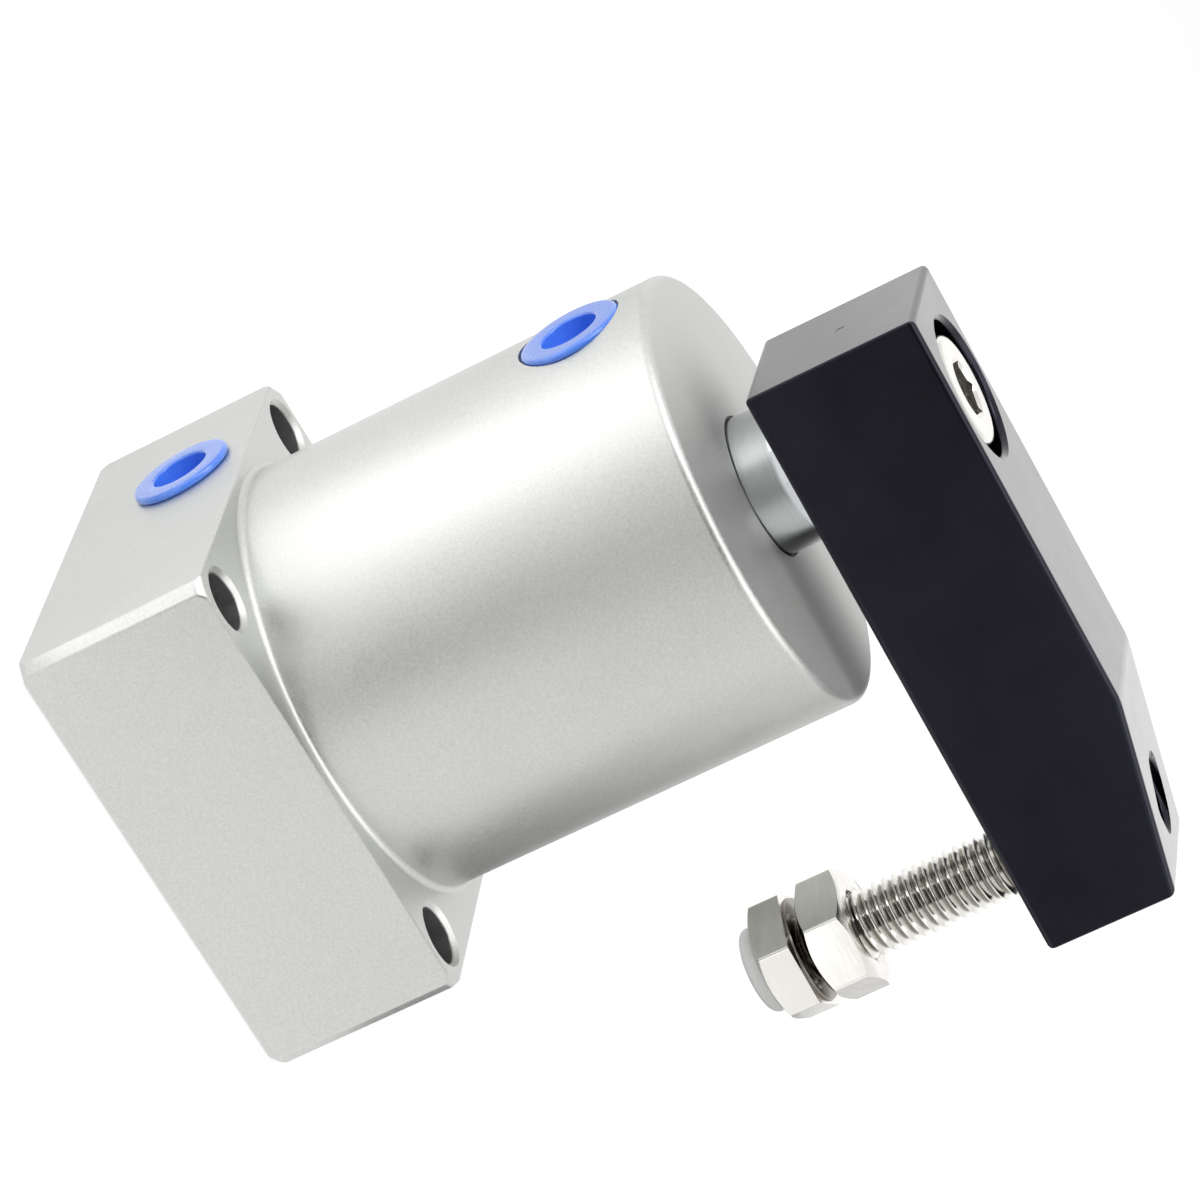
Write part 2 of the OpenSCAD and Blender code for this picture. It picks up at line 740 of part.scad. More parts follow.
module clamp_arm() {
    color(black) on_arm() difference() {
        translate([0, 0, arm_z0]) arm_bar();
        nose(nose_d + 2 * seat_play, nose_h + stop_gap, nose_flat - seat_play);
        translate([0, 0, arm_z0]) cylinder(d = screw_d + 2 * screw_play, h = arm_h);
        mouthed_hole(counterbore_d, head_seat_z, arm_z1, counterbore_rim);
        translate([bolt_reach, 0, arm_z0 - cut]) cylinder(d = bolt_d + 2 * running, h = arm_h + 2 * cut);
    }
}

module arm_screw() {
    color(nickel) on_arm() translate([0, 0, head_seat_z]) difference() {
        union() {
            translate([0, 0, -screw_l]) cylinder(d = screw_d, h = screw_l + cut);
            cylinder(d = screw_head_d, h = screw_head_h - head_edge);
            translate([0, 0, screw_head_h - head_edge]) rotate_extrude() {
                square([screw_head_d / 2 - head_edge, head_edge]);
                translate([screw_head_d / 2 - head_edge, 0]) intersection() {
                    circle(head_edge);
                    square(head_edge);
                }
            }
        }
        translate([0, 0, screw_head_h - socket_depth])
            cylinder(d = socket_af * 2 / sqrt(3), h = socket_depth + cut, $fn = 6);
    }
}

module clamp_bolt() {
    washer_d = bolt_head_af * hex_face;
    tip_z = bolt_seat_z + bolt_l - bolt_tip;
    color(nickel) on_bolt() difference() {
        union() {
            translate([0, 0, bolt_head_z]) rotate(bolt_head_turn)
                turned_hex(bolt_head_af, bolt_head_h, high = false);
            translate([0, 0, bolt_head_z + bolt_head_h]) cylinder(d = washer_d, h = washer_face_h);
            translate([0, 0, bolt_seat_z]) cylinder(d = bolt_d, h = bolt_l - bolt_tip);
            translate([0, 0, tip_z]) cylinder(d1 = bolt_d, d2 = bolt_d - 2 * bolt_tip, h = bolt_tip);
        }
        translate([0, 0, bolt_head_z - cut])
            cylinder(d = pad_stem_d + 2 * seat_play, h = pad_stem_l + seat_play + cut);
    }
}

module lock_nut() {
    color(nickel) on_bolt() translate([0, 0, lock_nut_z]) difference() {
        rotate(lock_nut_turn) turned_hex(lock_nut_af, lock_nut_h);
        translate([0, 0, -cut]) cylinder(d = bolt_d + 2 * seat_play, h = lock_nut_h + 2 * cut);
    }
}

// Disc with a rounded lower edge and a stem in the bolt's head
module bolt_pad() {
    edge = pad_h * pad_edge_share;
    color(white) on_bolt() translate([0, 0, pad_z]) rotate_extrude() {
        translate([0, edge]) square([pad_d / 2, pad_h - edge]);
        square([pad_d / 2 - edge, pad_h]);
        translate([pad_d / 2 - edge, edge]) intersection() {
            circle(edge);
            translate([0, -edge]) square(edge);
        }
        translate([0, pad_h - edge]) square([pad_stem_d / 2, pad_stem_l + edge]);
    }
}

cylinder_body();
rear_cap();
cap_o_ring();
snap_ring();
cap_key();
guide_spindle();
spindle_screw();
rear_bumper();
front_bumper();
rod_bush();
rod_seal();
rod_wiper();
port_plug_rear();
port_plug_front();
piston();
piston_seal_rear();
piston_seal_front();
wear_ring();
rod_o_ring();
piston_rod();
piston_nut();
drive_pins();
clamp_arm();
arm_screw();
clamp_bolt();
lock_nut();
bolt_pad();
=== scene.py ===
"""Looks of a swing clamp cylinder: a blasted body on a square block, a black arm and a plated clamp bolt.

Each piece is modelled in millimetres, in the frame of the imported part, and is scaled to metres when it is
finished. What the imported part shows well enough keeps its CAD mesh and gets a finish.
"""

import itertools
import json
import logging
import math
from contextlib import contextmanager
from dataclasses import dataclass
from enum import Enum
from typing import Callable, Iterator, Sequence

import bmesh
import bpy
from mathutils import Euler, Matrix, Vector

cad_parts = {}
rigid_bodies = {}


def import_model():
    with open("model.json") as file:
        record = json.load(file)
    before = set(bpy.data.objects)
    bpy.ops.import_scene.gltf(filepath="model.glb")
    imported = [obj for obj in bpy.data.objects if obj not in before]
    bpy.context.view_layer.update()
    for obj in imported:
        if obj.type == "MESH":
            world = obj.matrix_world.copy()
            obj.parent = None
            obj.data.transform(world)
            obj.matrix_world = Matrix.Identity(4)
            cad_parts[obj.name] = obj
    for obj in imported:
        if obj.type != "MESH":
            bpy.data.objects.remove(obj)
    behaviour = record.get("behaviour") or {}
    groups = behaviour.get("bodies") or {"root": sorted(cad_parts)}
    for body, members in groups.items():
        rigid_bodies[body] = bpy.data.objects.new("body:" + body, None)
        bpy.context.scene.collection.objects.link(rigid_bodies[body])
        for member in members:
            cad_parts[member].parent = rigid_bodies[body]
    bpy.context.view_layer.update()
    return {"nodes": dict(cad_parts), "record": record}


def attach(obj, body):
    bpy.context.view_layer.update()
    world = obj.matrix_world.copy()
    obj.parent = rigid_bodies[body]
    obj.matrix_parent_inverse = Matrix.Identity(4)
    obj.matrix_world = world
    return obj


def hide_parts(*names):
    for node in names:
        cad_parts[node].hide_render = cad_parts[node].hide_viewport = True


LOG = logging.getLogger("swing_clamp")

MM = 0.001
TURN_STEPS = 128
BARREL_STEPS = 256
STEM_STEPS = 64
PASSAGE_STEPS = 48
FILLET_STEPS = 6
ARM_EDGE_STEPS = 4
HEX_EDGE_STEPS = 3
BLOCK_EDGE_STEPS = 2
THREAD_STEPS = 40
SPARE_TURNS = 2
FLOOR_STEPS = 96
MERGE = 0.001
OVERSHOOT = 1.0
ALIGNED = 0.99
CREST_ROOM = 0.02
TAP_ROOM = 0.2
HEX_TURN = 30.0
BEND_ANGLE = math.radians(5)
SMOOTH_ANGLE = math.radians(32)
PATTERN_SPAN = (0.3, 0.7)

Colour = tuple[float, float, float]
Point = tuple[float, float]
Corner = tuple[float, ...]
Solid = bpy.types.Object
Material = bpy.types.Material
Socket = bpy.types.NodeSocket
Edge = bmesh.types.BMEdge
EdgeTest = Callable[[Edge], bool]


class Body(Enum):
    """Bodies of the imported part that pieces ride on."""

    CYLINDER = "cylinder"
    ROD = "rod"
    BOLT = "bolt"


class Slot(Enum):
    """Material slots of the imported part."""

    BODY = "body_aluminium"
    INNER = "inner_aluminium"
    ROD = "rod_steel"
    STEEL = "plain_steel"
    NICKEL = "nickel_plate"
    ARM = "arm_black"
    RUBBER = "seal_rubber"
    BUSH = "bush_bronze"
    PLUG = "plug_blue"
    PAD = "pad_white"


class Join(Enum):
    """Ways in which one solid acts on another."""

    CUT = "DIFFERENCE"
    ADD = "UNION"
    KEEP = "INTERSECT"


class Pick(Enum):
    """What edit mode selects."""

    VERTICES = "VERT"
    EDGES = "EDGE"
    FACES = "FACE"


Finishes = dict[Slot, Material]


def deselect_all() -> None:
    """Goes to object mode with nothing selected."""
    active = bpy.context.view_layer.objects.active
    if active is not None and active.mode != "OBJECT":
        bpy.ops.object.mode_set(mode="OBJECT")
    bpy.ops.object.select_all(action="DESELECT")


def take(piece: Solid) -> None:
    """Makes a piece the active one and the only one that is selected.

    Args:
        piece: The object to take.
    """
    deselect_all()
    piece.select_set(True)
    bpy.context.view_layer.objects.active = piece


def added(name: str) -> Solid:
    """Names the primitive that was added last and gives it back."""
    bpy.context.view_layer.objects.active.name = name
    return bpy.context.view_layer.objects.active


@contextmanager
def editing(piece: Solid, pick: Pick, whole: bool = False) -> Iterator[None]:
    """Holds a piece in edit mode.

    Args:
        piece: The object to edit.
        pick: What the edit selects.
        whole: Whether all of it is selected at first, or nothing.
    """
    take(piece)
    bpy.ops.object.mode_set(mode="EDIT")
    bpy.ops.mesh.select_mode(type=pick.value)
    bpy.ops.mesh.select_all(action="SELECT" if whole else "DESELECT")
    yield
    bpy.ops.object.mode_set(mode="OBJECT")


def select_edges(piece: Solid, wanted: EdgeTest) -> None:
    """Selects the edges of a piece in edit mode that pass a test.

    Args:
        piece: The object in edit mode.
        wanted: The test.
    """
    mesh = bmesh.from_edit_mesh(piece.data)
    for edge in mesh.edges:
        edge.select_set(wanted(edge))
    bmesh.update_edit_mesh(piece.data)


def is_upright(edge: Edge) -> bool:
    """Tells whether an edge lies along Z."""
    return abs((edge.verts[1].co - edge.verts[0].co).normalized().z) > ALIGNED


def bevel_edges(piece: Solid, wanted: EdgeTest, offset: float, segments: int) -> None:
    """Bevels the edges of a piece that pass a test.

    Args:
        piece: The object.
        wanted: The test.
        offset: Width of the bevel.
        segments: Number of faces across it.
    """
    with editing(piece, Pick.EDGES):
        select_edges(piece, wanted)
        bpy.ops.mesh.bevel(offset=offset, segments=segments, affect="EDGES")


def plane_off(piece: Solid, point: Corner, normal: Corner) -> None:
    """Cuts off what lies outside the plane through a point, and closes the cut."""
    with editing(piece, Pick.FACES, whole=True):
        bpy.ops.mesh.bisect(plane_co=point, plane_no=normal, use_fill=True, clear_outer=True)


def modify(piece: Solid, kind: str, **settings: object) -> None:
    """Adds a modifier to a piece, sets it and applies it.

    Args:
        piece: The object.
        kind: The modifier's type.
        settings: Its settings by name.
    """
    take(piece)
    bpy.ops.object.modifier_add(type=kind)
    modifier = piece.modifiers[-1]
    for name, value in settings.items():
        setattr(modifier, name, value)
    bpy.ops.object.modifier_apply(modifier=modifier.name)


def rounded(corners: Sequence[Corner]) -> list[Point]:
    """Turns the corners of an open profile that state a radius into arcs.

    Args:
        corners: Radius and height of each corner, with the rounding as a third number where there is one.

    Returns:
        The points of the profile.
    """
    points: list[Point] = []
    for index, corner in enumerate(corners):
        here = Vector(corner[:2])
        if len(corner) < 3:
            points.append((here.x, here.y))
            continue
        before = (Vector(corners[index - 1][:2]) - here).normalized()
        after = (Vector(corners[index + 1][:2]) - here).normalized()
        half = before.angle(after) / 2
        radius = corner[2]
        centre = here + (before + after).normalized() * (radius / math.sin(half))
        start = here + before * (radius / math.tan(half)) - centre
        end = here + after * (radius / math.tan(half)) - centre
        sweep = start.angle_signed(end)
        for step in range(FILLET_STEPS + 1):
            spoke = start.copy()
            spoke.rotate(Matrix.Rotation(-sweep * step / FILLET_STEPS, 2))
            points.append((centre.x + spoke.x, centre.y + spoke.y))
    return points


def draw_profile(name: str, points: Sequence[Point]) -> Solid:
    """Draws a chain of edges in the XZ plane.

    Args:
        name: The object's name.
        points: Radius and height of each point.

    Returns:
        The object.
    """
    deselect_all()
    bpy.ops.mesh.primitive_plane_add(size=1.0)
    piece = added(name)
    with editing(piece, Pick.VERTICES, whole=True):
        bpy.ops.mesh.merge(type="CENTER")
        bpy.ops.transform.translate(value=(points[0][0], 0.0, points[0][1]))
        for old, new in zip(points, points[1:]):
            step = (new[0] - old[0], 0.0, new[1] - old[1])
            bpy.ops.mesh.extrude_vertices_move(TRANSFORM_OT_translate={"value": step})
    return piece


def close_seams(piece: Solid) -> None:
    """Merges the doubles of a piece and turns its faces outwards.

    Args:
        piece: The object to close.
    """
    with editing(piece, Pick.VERTICES, whole=True):
        bpy.ops.mesh.remove_doubles(threshold=MERGE)
        bpy.ops.mesh.normals_make_consistent(inside=False)


def turned(name: str, corners: Sequence[Corner], steps: int = TURN_STEPS) -> Solid:
    """Turns a solid about Z from a profile that starts and ends on the axis.

    Args:
        name: The object's name.
        corners: Radius, height and rounding of each corner.
        steps: Number of faces round the axis.

    Returns:
        The solid.
    """
    piece = draw_profile(name, rounded(corners))
    with editing(piece, Pick.VERTICES, whole=True):
        bpy.ops.mesh.spin(steps=steps, angle=math.tau, center=(0.0, 0.0, 0.0), axis=(0.0, 0.0, 1.0))
    close_seams(piece)
    return piece


def drill(radius: float, low: float, high: float, steps: int = TURN_STEPS) -> Solid:
    """Turns a plain round tool between two heights."""
    return turned("drill", [(0, low), (radius, low), (radius, high), (0, high)], steps)


def sinker(radius: float, low: float, top: float, mouth: float, edge: float) -> Solid:
    """Turns the tool for a hole whose chamfered mouth, with a rounded inner edge, opens at the top."""
    over = top + OVERSHOOT
    return turned("sinker", [
        (0, low), (radius, low), (radius, top - mouth, edge), (radius + mouth + OVERSHOOT, over), (0, over),
    ])


def hexagon(name: str, across_flats: float, low: float, high: float, turn: float, soft: float) -> Solid:
    """Makes a six-sided bar with softened long edges.

    Args:
        name: The object's name.
        across_flats: Width across the flats.
        low: Height of its lower end.
        high: Height of its upper end.
        turn: Angle of its first flat, in degrees.
        soft: Rounding of the long edges, or 0 for none.

    Returns:
        The bar.
    """
    deselect_all()
    bpy.ops.mesh.primitive_cylinder_add(
        vertices=6, radius=across_flats / math.sqrt(3), depth=high - low, location=(0, 0, (low + high) / 2)
    )
    piece = added(name)
    piece.rotation_euler = (0.0, 0.0, math.radians(turn + HEX_TURN))
    bpy.ops.object.transform_apply(location=True, rotation=True, scale=True)
    if soft:
        bevel_edges(piece, is_upright, soft, HEX_EDGE_STEPS)
    return piece


def box_bar(name: str, low: Corner, high: Corner) -> Solid:
    """Makes a bar between two corners, as a start for edit mode.

    Args:
        name: The object's name.
        low: Its lowest corner.
        high: Its highest corner.

    Returns:
        The bar.
    """
    deselect_all()
    bpy.ops.mesh.primitive_cube_add(size=1.0)
    piece = added(name)
    with editing(piece, Pick.VERTICES, whole=True):
        bpy.ops.transform.resize(value=tuple(b - a for a, b in zip(low, high)))
        bpy.ops.transform.translate(value=tuple((a + b) / 2 for a, b in zip(low, high)))
    return piece


@dataclass(frozen=True)
class Thread:
    """A metric thread with rounded roots and crests."""

    root_radius: float
    crest_radius: float
    pitch: float = 1.25
    shape: tuple[Point, ...] = (
        (0.00, 0.00), (0.09, 0.02), (0.15, 0.10), (0.41, 0.91), (0.46, 1.00),
        (0.54, 1.00), (0.59, 0.91), (0.85, 0.10), (0.91, 0.02), (1.00, 0.00),
    )

    def bar(self, low: float, high: float) -> Solid:
        """Winds a threaded bar that covers a span of heights.

        Args:
            low: Height that the bar reaches below.
            high: Height that the bar reaches above.

        Returns:
            The closed bar, with rough ends.
        """
        depth = self.crest_radius - self.root_radius
        start = low - SPARE_TURNS * self.pitch
        piece = draw_profile(
            "thread", [(self.root_radius + depth * out, start + self.pitch * up) for up, out in self.shape]
        )
        turns = math.ceil((high - start) / self.pitch) + SPARE_TURNS
        modify(
            piece, "SCREW", axis="Z", angle=math.tau, screw_offset=self.pitch, iterations=turns,
            steps=THREAD_STEPS, render_steps=THREAD_STEPS,
        )
        close_seams(piece)
        middle = (low + high) / 2
        for lower in (True, False):
            with editing(piece, Pick.EDGES):
                select_edges(piece, lambda edge: edge.is_boundary and (edge.verts[0].co.z < middle) == lower)
                bpy.ops.mesh.extrude_edges_move(TRANSFORM_OT_translate={"value": (0.0, 0.0, 0.0)})
                bpy.ops.mesh.merge(type="CENTER")
        close_seams(piece)
        return piece

    def mouth(self, end: float, inwards: float, flare: float, depth: float) -> Solid:
        """Turns the tool for the cone at one end of a tapped hole.

        Args:
            end: Height of the hole's end.
            inwards: 1 where the hole goes up from there, -1 where it goes down.
            flare: How far the cone reaches past the crests, outside the hole.
            depth: Depth of the cone.

        Returns:
            The tool.
        """
        outer, inner = end - inwards * OVERSHOOT, end + inwards * depth
        return turned("mouth", [
            (0, outer), (self.crest_radius + flare, outer), (self.root_radius - TAP_ROOM, inner), (0, inner),
        ])


def join(piece: Solid, tool: Solid, how: Join) -> None:
    """Lets one solid act on another and removes it.

    Args:
        piece: The solid that stays.
        tool: The solid that acts on it.
        how: What is done.
    """
    modify(piece, "BOOLEAN", operation=how.value, solver="EXACT", object=tool)
    mesh = tool.data
    bpy.data.objects.remove(tool)
    bpy.data.meshes.remove(mesh)


def cut(piece: Solid, *tools: Solid) -> None:
    """Cuts tools out of a solid, one after the other."""
    for tool in tools:
        join(piece, tool, Join.CUT)


def place(piece: Solid, where: Matrix) -> Solid:
    """Moves a solid and puts its place into its mesh.

    Args:
        piece: The solid.
        where: Its turn and place, in millimetres.

    Returns:
        The same solid.
    """
    take(piece)
    piece.matrix_world = where
    bpy.ops.object.transform_apply(location=True, rotation=True, scale=True)
    return piece


@dataclass
class Assembly:
    """A sub-assembly, whose pieces get the finishes of their slots."""

    finishes: Finishes

    def hand_over(self, piece: Solid, body: Body, slot: Slot, node: str) -> None:
        """Scales a piece to metres, shades it and gives it to its body in place of a CAD node.

        Args:
            piece: The finished solid, in millimetres.
            body: The body that it rides on.
            slot: Its material slot.
            node: The CAD node that it stands for.
        """
        place(piece, Matrix.Scale(MM, 4))
        bpy.ops.object.shade_smooth_by_angle(angle=SMOOTH_ANGLE)
        modify(piece, "WEIGHTED_NORMAL", keep_sharp=True)
        piece.data.materials.clear()
        piece.data.materials.append(self.finishes[slot])
        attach(piece, body.value)
        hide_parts(node)
        LOG.info("%s: %d faces on %s", piece.name, len(piece.data.polygons), body.value)

    def build(self) -> None:
        """Makes the pieces and hands them over."""
        raise NotImplementedError


class Wiring:
    """An emptied node tree, with short calls for adding nodes to it."""

    def __init__(self, owner: bpy.types.ID) -> None:
        """Empties the tree.

        Args:
            owner: The material or world that has it.
        """
        owner.use_nodes = True
        self.nodes, self.links = owner.node_tree.nodes, owner.node_tree.links
        self.nodes.clear()

    def feed(self, socket: Socket, value: Socket | float | Corner) -> None:
        """Sets an input, or links it.

        Args:
            socket: The input.
            value: Its value, or the output that is linked to it.
        """
        if isinstance(value, Socket):
            self.links.new(value, socket)
        else:
            socket.default_value = value

    def add(self, kind: str, **inputs: Socket | float | Corner) -> bpy.types.Node:
        """Adds a node.

        Args:
            kind: Its type, without the word that all types start with.
            inputs: What its inputs get, with _ for a space in their names.

        Returns:
            The node.
        """
        node = self.nodes.new("ShaderNode" + kind)
        for name, value in inputs.items():
            self.feed(node.inputs[name.replace("_", " ")], value)
        return node

    def combine(self, operation: str, *terms: Socket | float) -> Socket:
        """Works out a value from others.

        Args:
            operation: What is done with them.
            terms: The values.

        Returns:
            The result.
        """
        node = self.add("Math")
        node.operation = operation
        for socket, term in zip(node.inputs, terms):
            self.feed(socket, term)
        return node.outputs["Value"]

    def seen_rays(self) -> Socket:
        """Tells camera, glossy and transmission rays from the others.

        Returns:
            A factor of 1 for these rays.
        """
        path = self.add("LightPath").outputs
        shiny = self.combine("MAXIMUM", path["Is Glossy Ray"], path["Is Transmission Ray"])
        return self.combine("MAXIMUM", path["Is Camera Ray"], shiny)


class Recipe(Wiring):
    """A new material with short calls for the nodes that the finishes share."""

    def __init__(self, name: str) -> None:
        """Starts a material with one shader.

        Args:
            name: The material's name.
        """
        self.material = bpy.data.materials.new(name)
        super().__init__(self.material)
        self.shader = self.add("BsdfPrincipled")
        self.add("OutputMaterial", Surface=self.shader.outputs["BSDF"])
        self.where = self.add("TexCoord").outputs["Object"]

    def set(self, **values: Socket | float | Corner) -> None:
        """Sets or links inputs of the shader, with _ for a space in their names."""
        for name, value in values.items():
            self.feed(self.shader.inputs[name.replace("_", " ")], value)

    def noise(self, per_metre: float, detail: float, stretch: Colour = (1.0, 1.0, 1.0)) -> Socket:
        """Adds a noise on Object coordinates.

        Args:
            per_metre: Number of grains to a metre.
            detail: Octaves of the noise.
            stretch: Scale of the pattern along each axis.

        Returns:
            The noise, from 0 to 1.
        """
        mapping = self.add("Mapping", Vector=self.where, Scale=stretch)
        texture = self.add("TexNoise", Vector=mapping.outputs["Vector"], Scale=per_metre, Detail=detail)
        return texture.outputs["Fac"]

    def product(self, first: Socket, second: Socket) -> Socket:
        """Multiplies two values."""
        return self.combine("MULTIPLY", first, second)

    def height(self) -> Socket:
        """Gives the height on the part, in metres."""
        return self.add("SeparateXYZ", Vector=self.where).outputs["Z"]

    def reach(self, axis: Point, four: bool = False) -> Socket:
        """Gives the distance from an upright axis.

        Args:
            axis: Place of the axis, in millimetres.
            four: Whether the axis stands in each of the four quarters.

        Returns:
            The distance, in metres.
        """
        where = self.where
        if four:
            fold = self.add("VectorMath", Vector=where)
            fold.operation = "ABSOLUTE"
            where = fold.outputs["Vector"]
        centre = (-axis[0] * MM, -axis[1] * MM, 0.0)
        mapping = self.add("Mapping", Vector=where, Location=centre, Scale=(1.0, 1.0, 0.0))
        length = self.add("VectorMath", Vector=mapping.outputs["Vector"])
        length.operation = "LENGTH"
        return length.outputs["Value"]

    def span(self, value: Socket, old: Point, new: Point) -> Socket:
        """Stretches a value from an old range onto a new one."""
        ends = {"From_Min": old[0], "From_Max": old[1], "To_Min": new[0], "To_Max": new[1]}
        return self.add("MapRange", Value=value, **ends).outputs["Result"]

    def over(self, length: Socket, ends_mm: Point, new: Point) -> Socket:
        """Lets a value change as a length in metres passes between two ends in millimetres."""
        return self.span(length, (ends_mm[0] * MM, ends_mm[1] * MM), new)

    def within(self, length: Socket, low_mm: float, high_mm: float) -> Socket:
        """Gives 1 where a length in metres lies between two in millimetres, and 0 elsewhere."""
        return self.combine("COMPARE", length, (low_mm + high_mm) / 2 * MM, (high_mm - low_mm) / 2 * MM)

    def colour(self, pattern: Socket, dark: Colour, light: Colour, deep: Colour | None = None) -> None:
        """Lets a pattern vary the base colour.

        Args:
            pattern: The pattern.
            dark: Colour where it is low.
            light: Colour where it is high.
            deep: Colour where it is nothing at all, if that is another one.
        """
        ramp = self.add("ValToRGB", Fac=pattern)
        stops = ramp.color_ramp.elements
        for stop, position, colour in zip(stops, PATTERN_SPAN, (dark, light)):
            stop.position, stop.color = position, (*colour, 1.0)
        if deep is not None:
            stops.new(0.0).color = (*deep, 1.0)
        self.set(Base_Color=ramp.outputs["Color"])


@dataclass(frozen=True)
class Finish:
    """A surface whose grain and wider cloud, both in spots to a metre, vary its colour and roughness."""

    name: str
    dark: Colour
    light: Colour
    smooth: float
    coarse: float
    depth_mm: float
    grain: float
    metallic: float = 1.0
    detail: float = 3.0
    stretch: Colour = (1.0, 1.0, 1.0)
    cloud: float = 300.0
    cloud_detail: float = 3.0
    grain_share: float = 0.4
    bump: float = 0.2
    coat: float = 0.0
    coat_index: float = 1.5
    glow: float = 0.0
    glow_mm: Colour = (1.0, 1.0, 1.0)

    def start(self) -> tuple[Recipe, Socket]:
        """Starts the material with the relief of its grain, its clear coat and the light inside it.

        Returns:
            The recipe, and the mix of grain and cloud.
        """
        recipe = Recipe(self.name)
        grain = recipe.noise(self.grain, self.detail, self.stretch)
        cloud = recipe.noise(self.cloud, self.cloud_detail)
        bump = recipe.add("Bump", Strength=self.bump, Distance=self.depth_mm * MM, Height=grain)
        recipe.set(Metallic=self.metallic, Normal=bump.outputs["Normal"])
        if self.coat:
            recipe.set(Coat_Weight=self.coat, Coat_IOR=self.coat_index, Coat_Roughness=self.smooth)
        if self.glow:
            recipe.set(Subsurface_Weight=self.glow, Subsurface_Radius=self.glow_mm, Subsurface_Scale=MM)
        return recipe, recipe.add("Mix", Factor=self.grain_share, A=cloud, B=grain).outputs["Result"]

    def rough(self, recipe: Recipe, mottle: Socket) -> Socket:
        """Gives the roughness that a mottle stands for."""
        return recipe.span(mottle, PATTERN_SPAN, (self.smooth, self.coarse))

    def material(self) -> Material:
        """Makes the finish.

        Returns:
            The material.
        """
        recipe, mottle = self.start()
        recipe.colour(mottle, self.dark, self.light)
        recipe.set(Roughness=self.rough(recipe, mottle))
        return recipe.material


@dataclass(frozen=True)
class BlastedAluminium(Finish):
    """Bead-blasted, clear-anodised aluminium with a fine sandy grain."""

    name: str = "blasted_aluminium"
    dark: Colour = (0.528, 0.535, 0.519)
    light: Colour = (0.640, 0.648, 0.630)
    smooth: float = 0.38
    coarse: float = 0.50
    depth_mm: float = 0.03
    grain: float = 3400.0
    detail: float = 4.0
    cloud: float = 90.0
    grain_share: float = 0.85
    bump: float = 0.35
    front_mm: Point = (72.35, 72.58)
    front_share: float = 1.26
    # Colour of the painted shade inside the mounting holes.
    hole_painted_shade: Colour = (0.38, 0.38, 0.38)
    hole_at: Point = (22.25, 22.25)
    hole_mm: Point = (3.32, 3.44)

    def material(self) -> Material:
        """Makes the finish, which is duller on the turned front face and has painted shade, a darker colour,
        inside the mounting holes.

        Returns:
            The material.
        """
        recipe, mottle = self.start()
        # Painted shade: the colour goes to the hole shade colour inside the mounting holes.
        outside = recipe.over(recipe.reach(self.hole_at, True), self.hole_mm, (0.0, 1.0))
        recipe.colour(recipe.product(mottle, outside), self.dark, self.light, self.hole_painted_shade)
        duller = recipe.over(recipe.height(), self.front_mm, (1.0, self.front_share))
        recipe.set(Roughness=recipe.product(self.rough(recipe, mottle), duller))
        return recipe.material


@dataclass(frozen=True)
class TurnedMetal(Finish):
    """Metal with the fine rings that turning or grinding leaves about Z."""

    grain: float = 5200.0
    detail: float = 2.0
    stretch: Colour = (0.004, 0.004, 1.0)
    cloud: float = 420.0
    grain_share: float = 0.5
    bump: float = 0.25


@dataclass(frozen=True)
class NickelPlate(Finish):
    """Bright, faintly warm nickel plate with handling marks."""

    name: str = "nickel_plate"
    dark: Colour = (0.700, 0.684, 0.640)
    light: Colour = (0.850, 0.838, 0.806)
    smooth: float = 0.09
    coarse: float = 0.24
    depth_mm: float = 0.02
    grain: float = 2600.0
    stretch: Colour = (0.10, 0.10, 1.0)
    cloud: float = 260.0
    bump: float = 0.12


@dataclass(frozen=True)
class ThreadNickelPaintedShade(NickelPlate):
    """Nickel plate with painted shade: its colour is darker in the roots of a thread and in the gap under its
    nut, where shade falls.
    """

    name: str = "thread_nickel_painted_shade"
    axis: Point = (0.0, 0.0)
    roots_mm: Point = (0.0, 1.0)
    gap_mm: Point = (0.0, 1.0)
    gap_reach: float = 1.0
    # Colour of the painted shade in the thread roots and in the gap under the nut.
    painted_shade_colour: Colour = (0.235, 0.218, 0.190)

    def material(self) -> Material:
        """Makes the finish, with painted shade in the thread roots and in the gap under the nut.

        Returns:
            The material.
        """
        recipe, mottle = self.start()
        # Painted shade: the colour fades to the shade colour towards the thread roots and inside the gap
        # between head and nut.
        reach = recipe.reach(self.axis)
        unshaded = recipe.over(reach, self.roots_mm, (0.0, 1.0))
        gap = recipe.product(
            recipe.within(recipe.height(), *self.gap_mm), recipe.within(reach, 0.0, self.gap_reach)
        )
        unshaded = recipe.product(unshaded, recipe.span(gap, (0.0, 1.0), (1.0, 0.0)))
        recipe.colour(recipe.product(mottle, unshaded), self.dark, self.light, self.painted_shade_colour)
        recipe.set(Roughness=self.rough(recipe, mottle))
        return recipe.material


@dataclass(frozen=True)
class SatinBlack(Finish):
    """Blackened steel with a faint blue cast and a satin sheen."""

    name: str = "satin_black"
    dark: Colour = (0.0150, 0.0150, 0.0230)
    light: Colour = (0.0198, 0.0198, 0.0292)
    smooth: float = 0.20
    coarse: float = 0.28
    depth_mm: float = 0.02
    grain: float = 1900.0
    detail: float = 4.0
    cloud: float = 170.0
    cloud_detail: float = 4.0
    bump: float = 0.18
    coat: float = 1.0
    coat_index: float = 1.20


@dataclass(frozen=True)
class Moulded(Finish):
    """Moulded plastic or rubber with a faint orange peel."""

    metallic: float = 0.0
    grain_share: float = 0.35


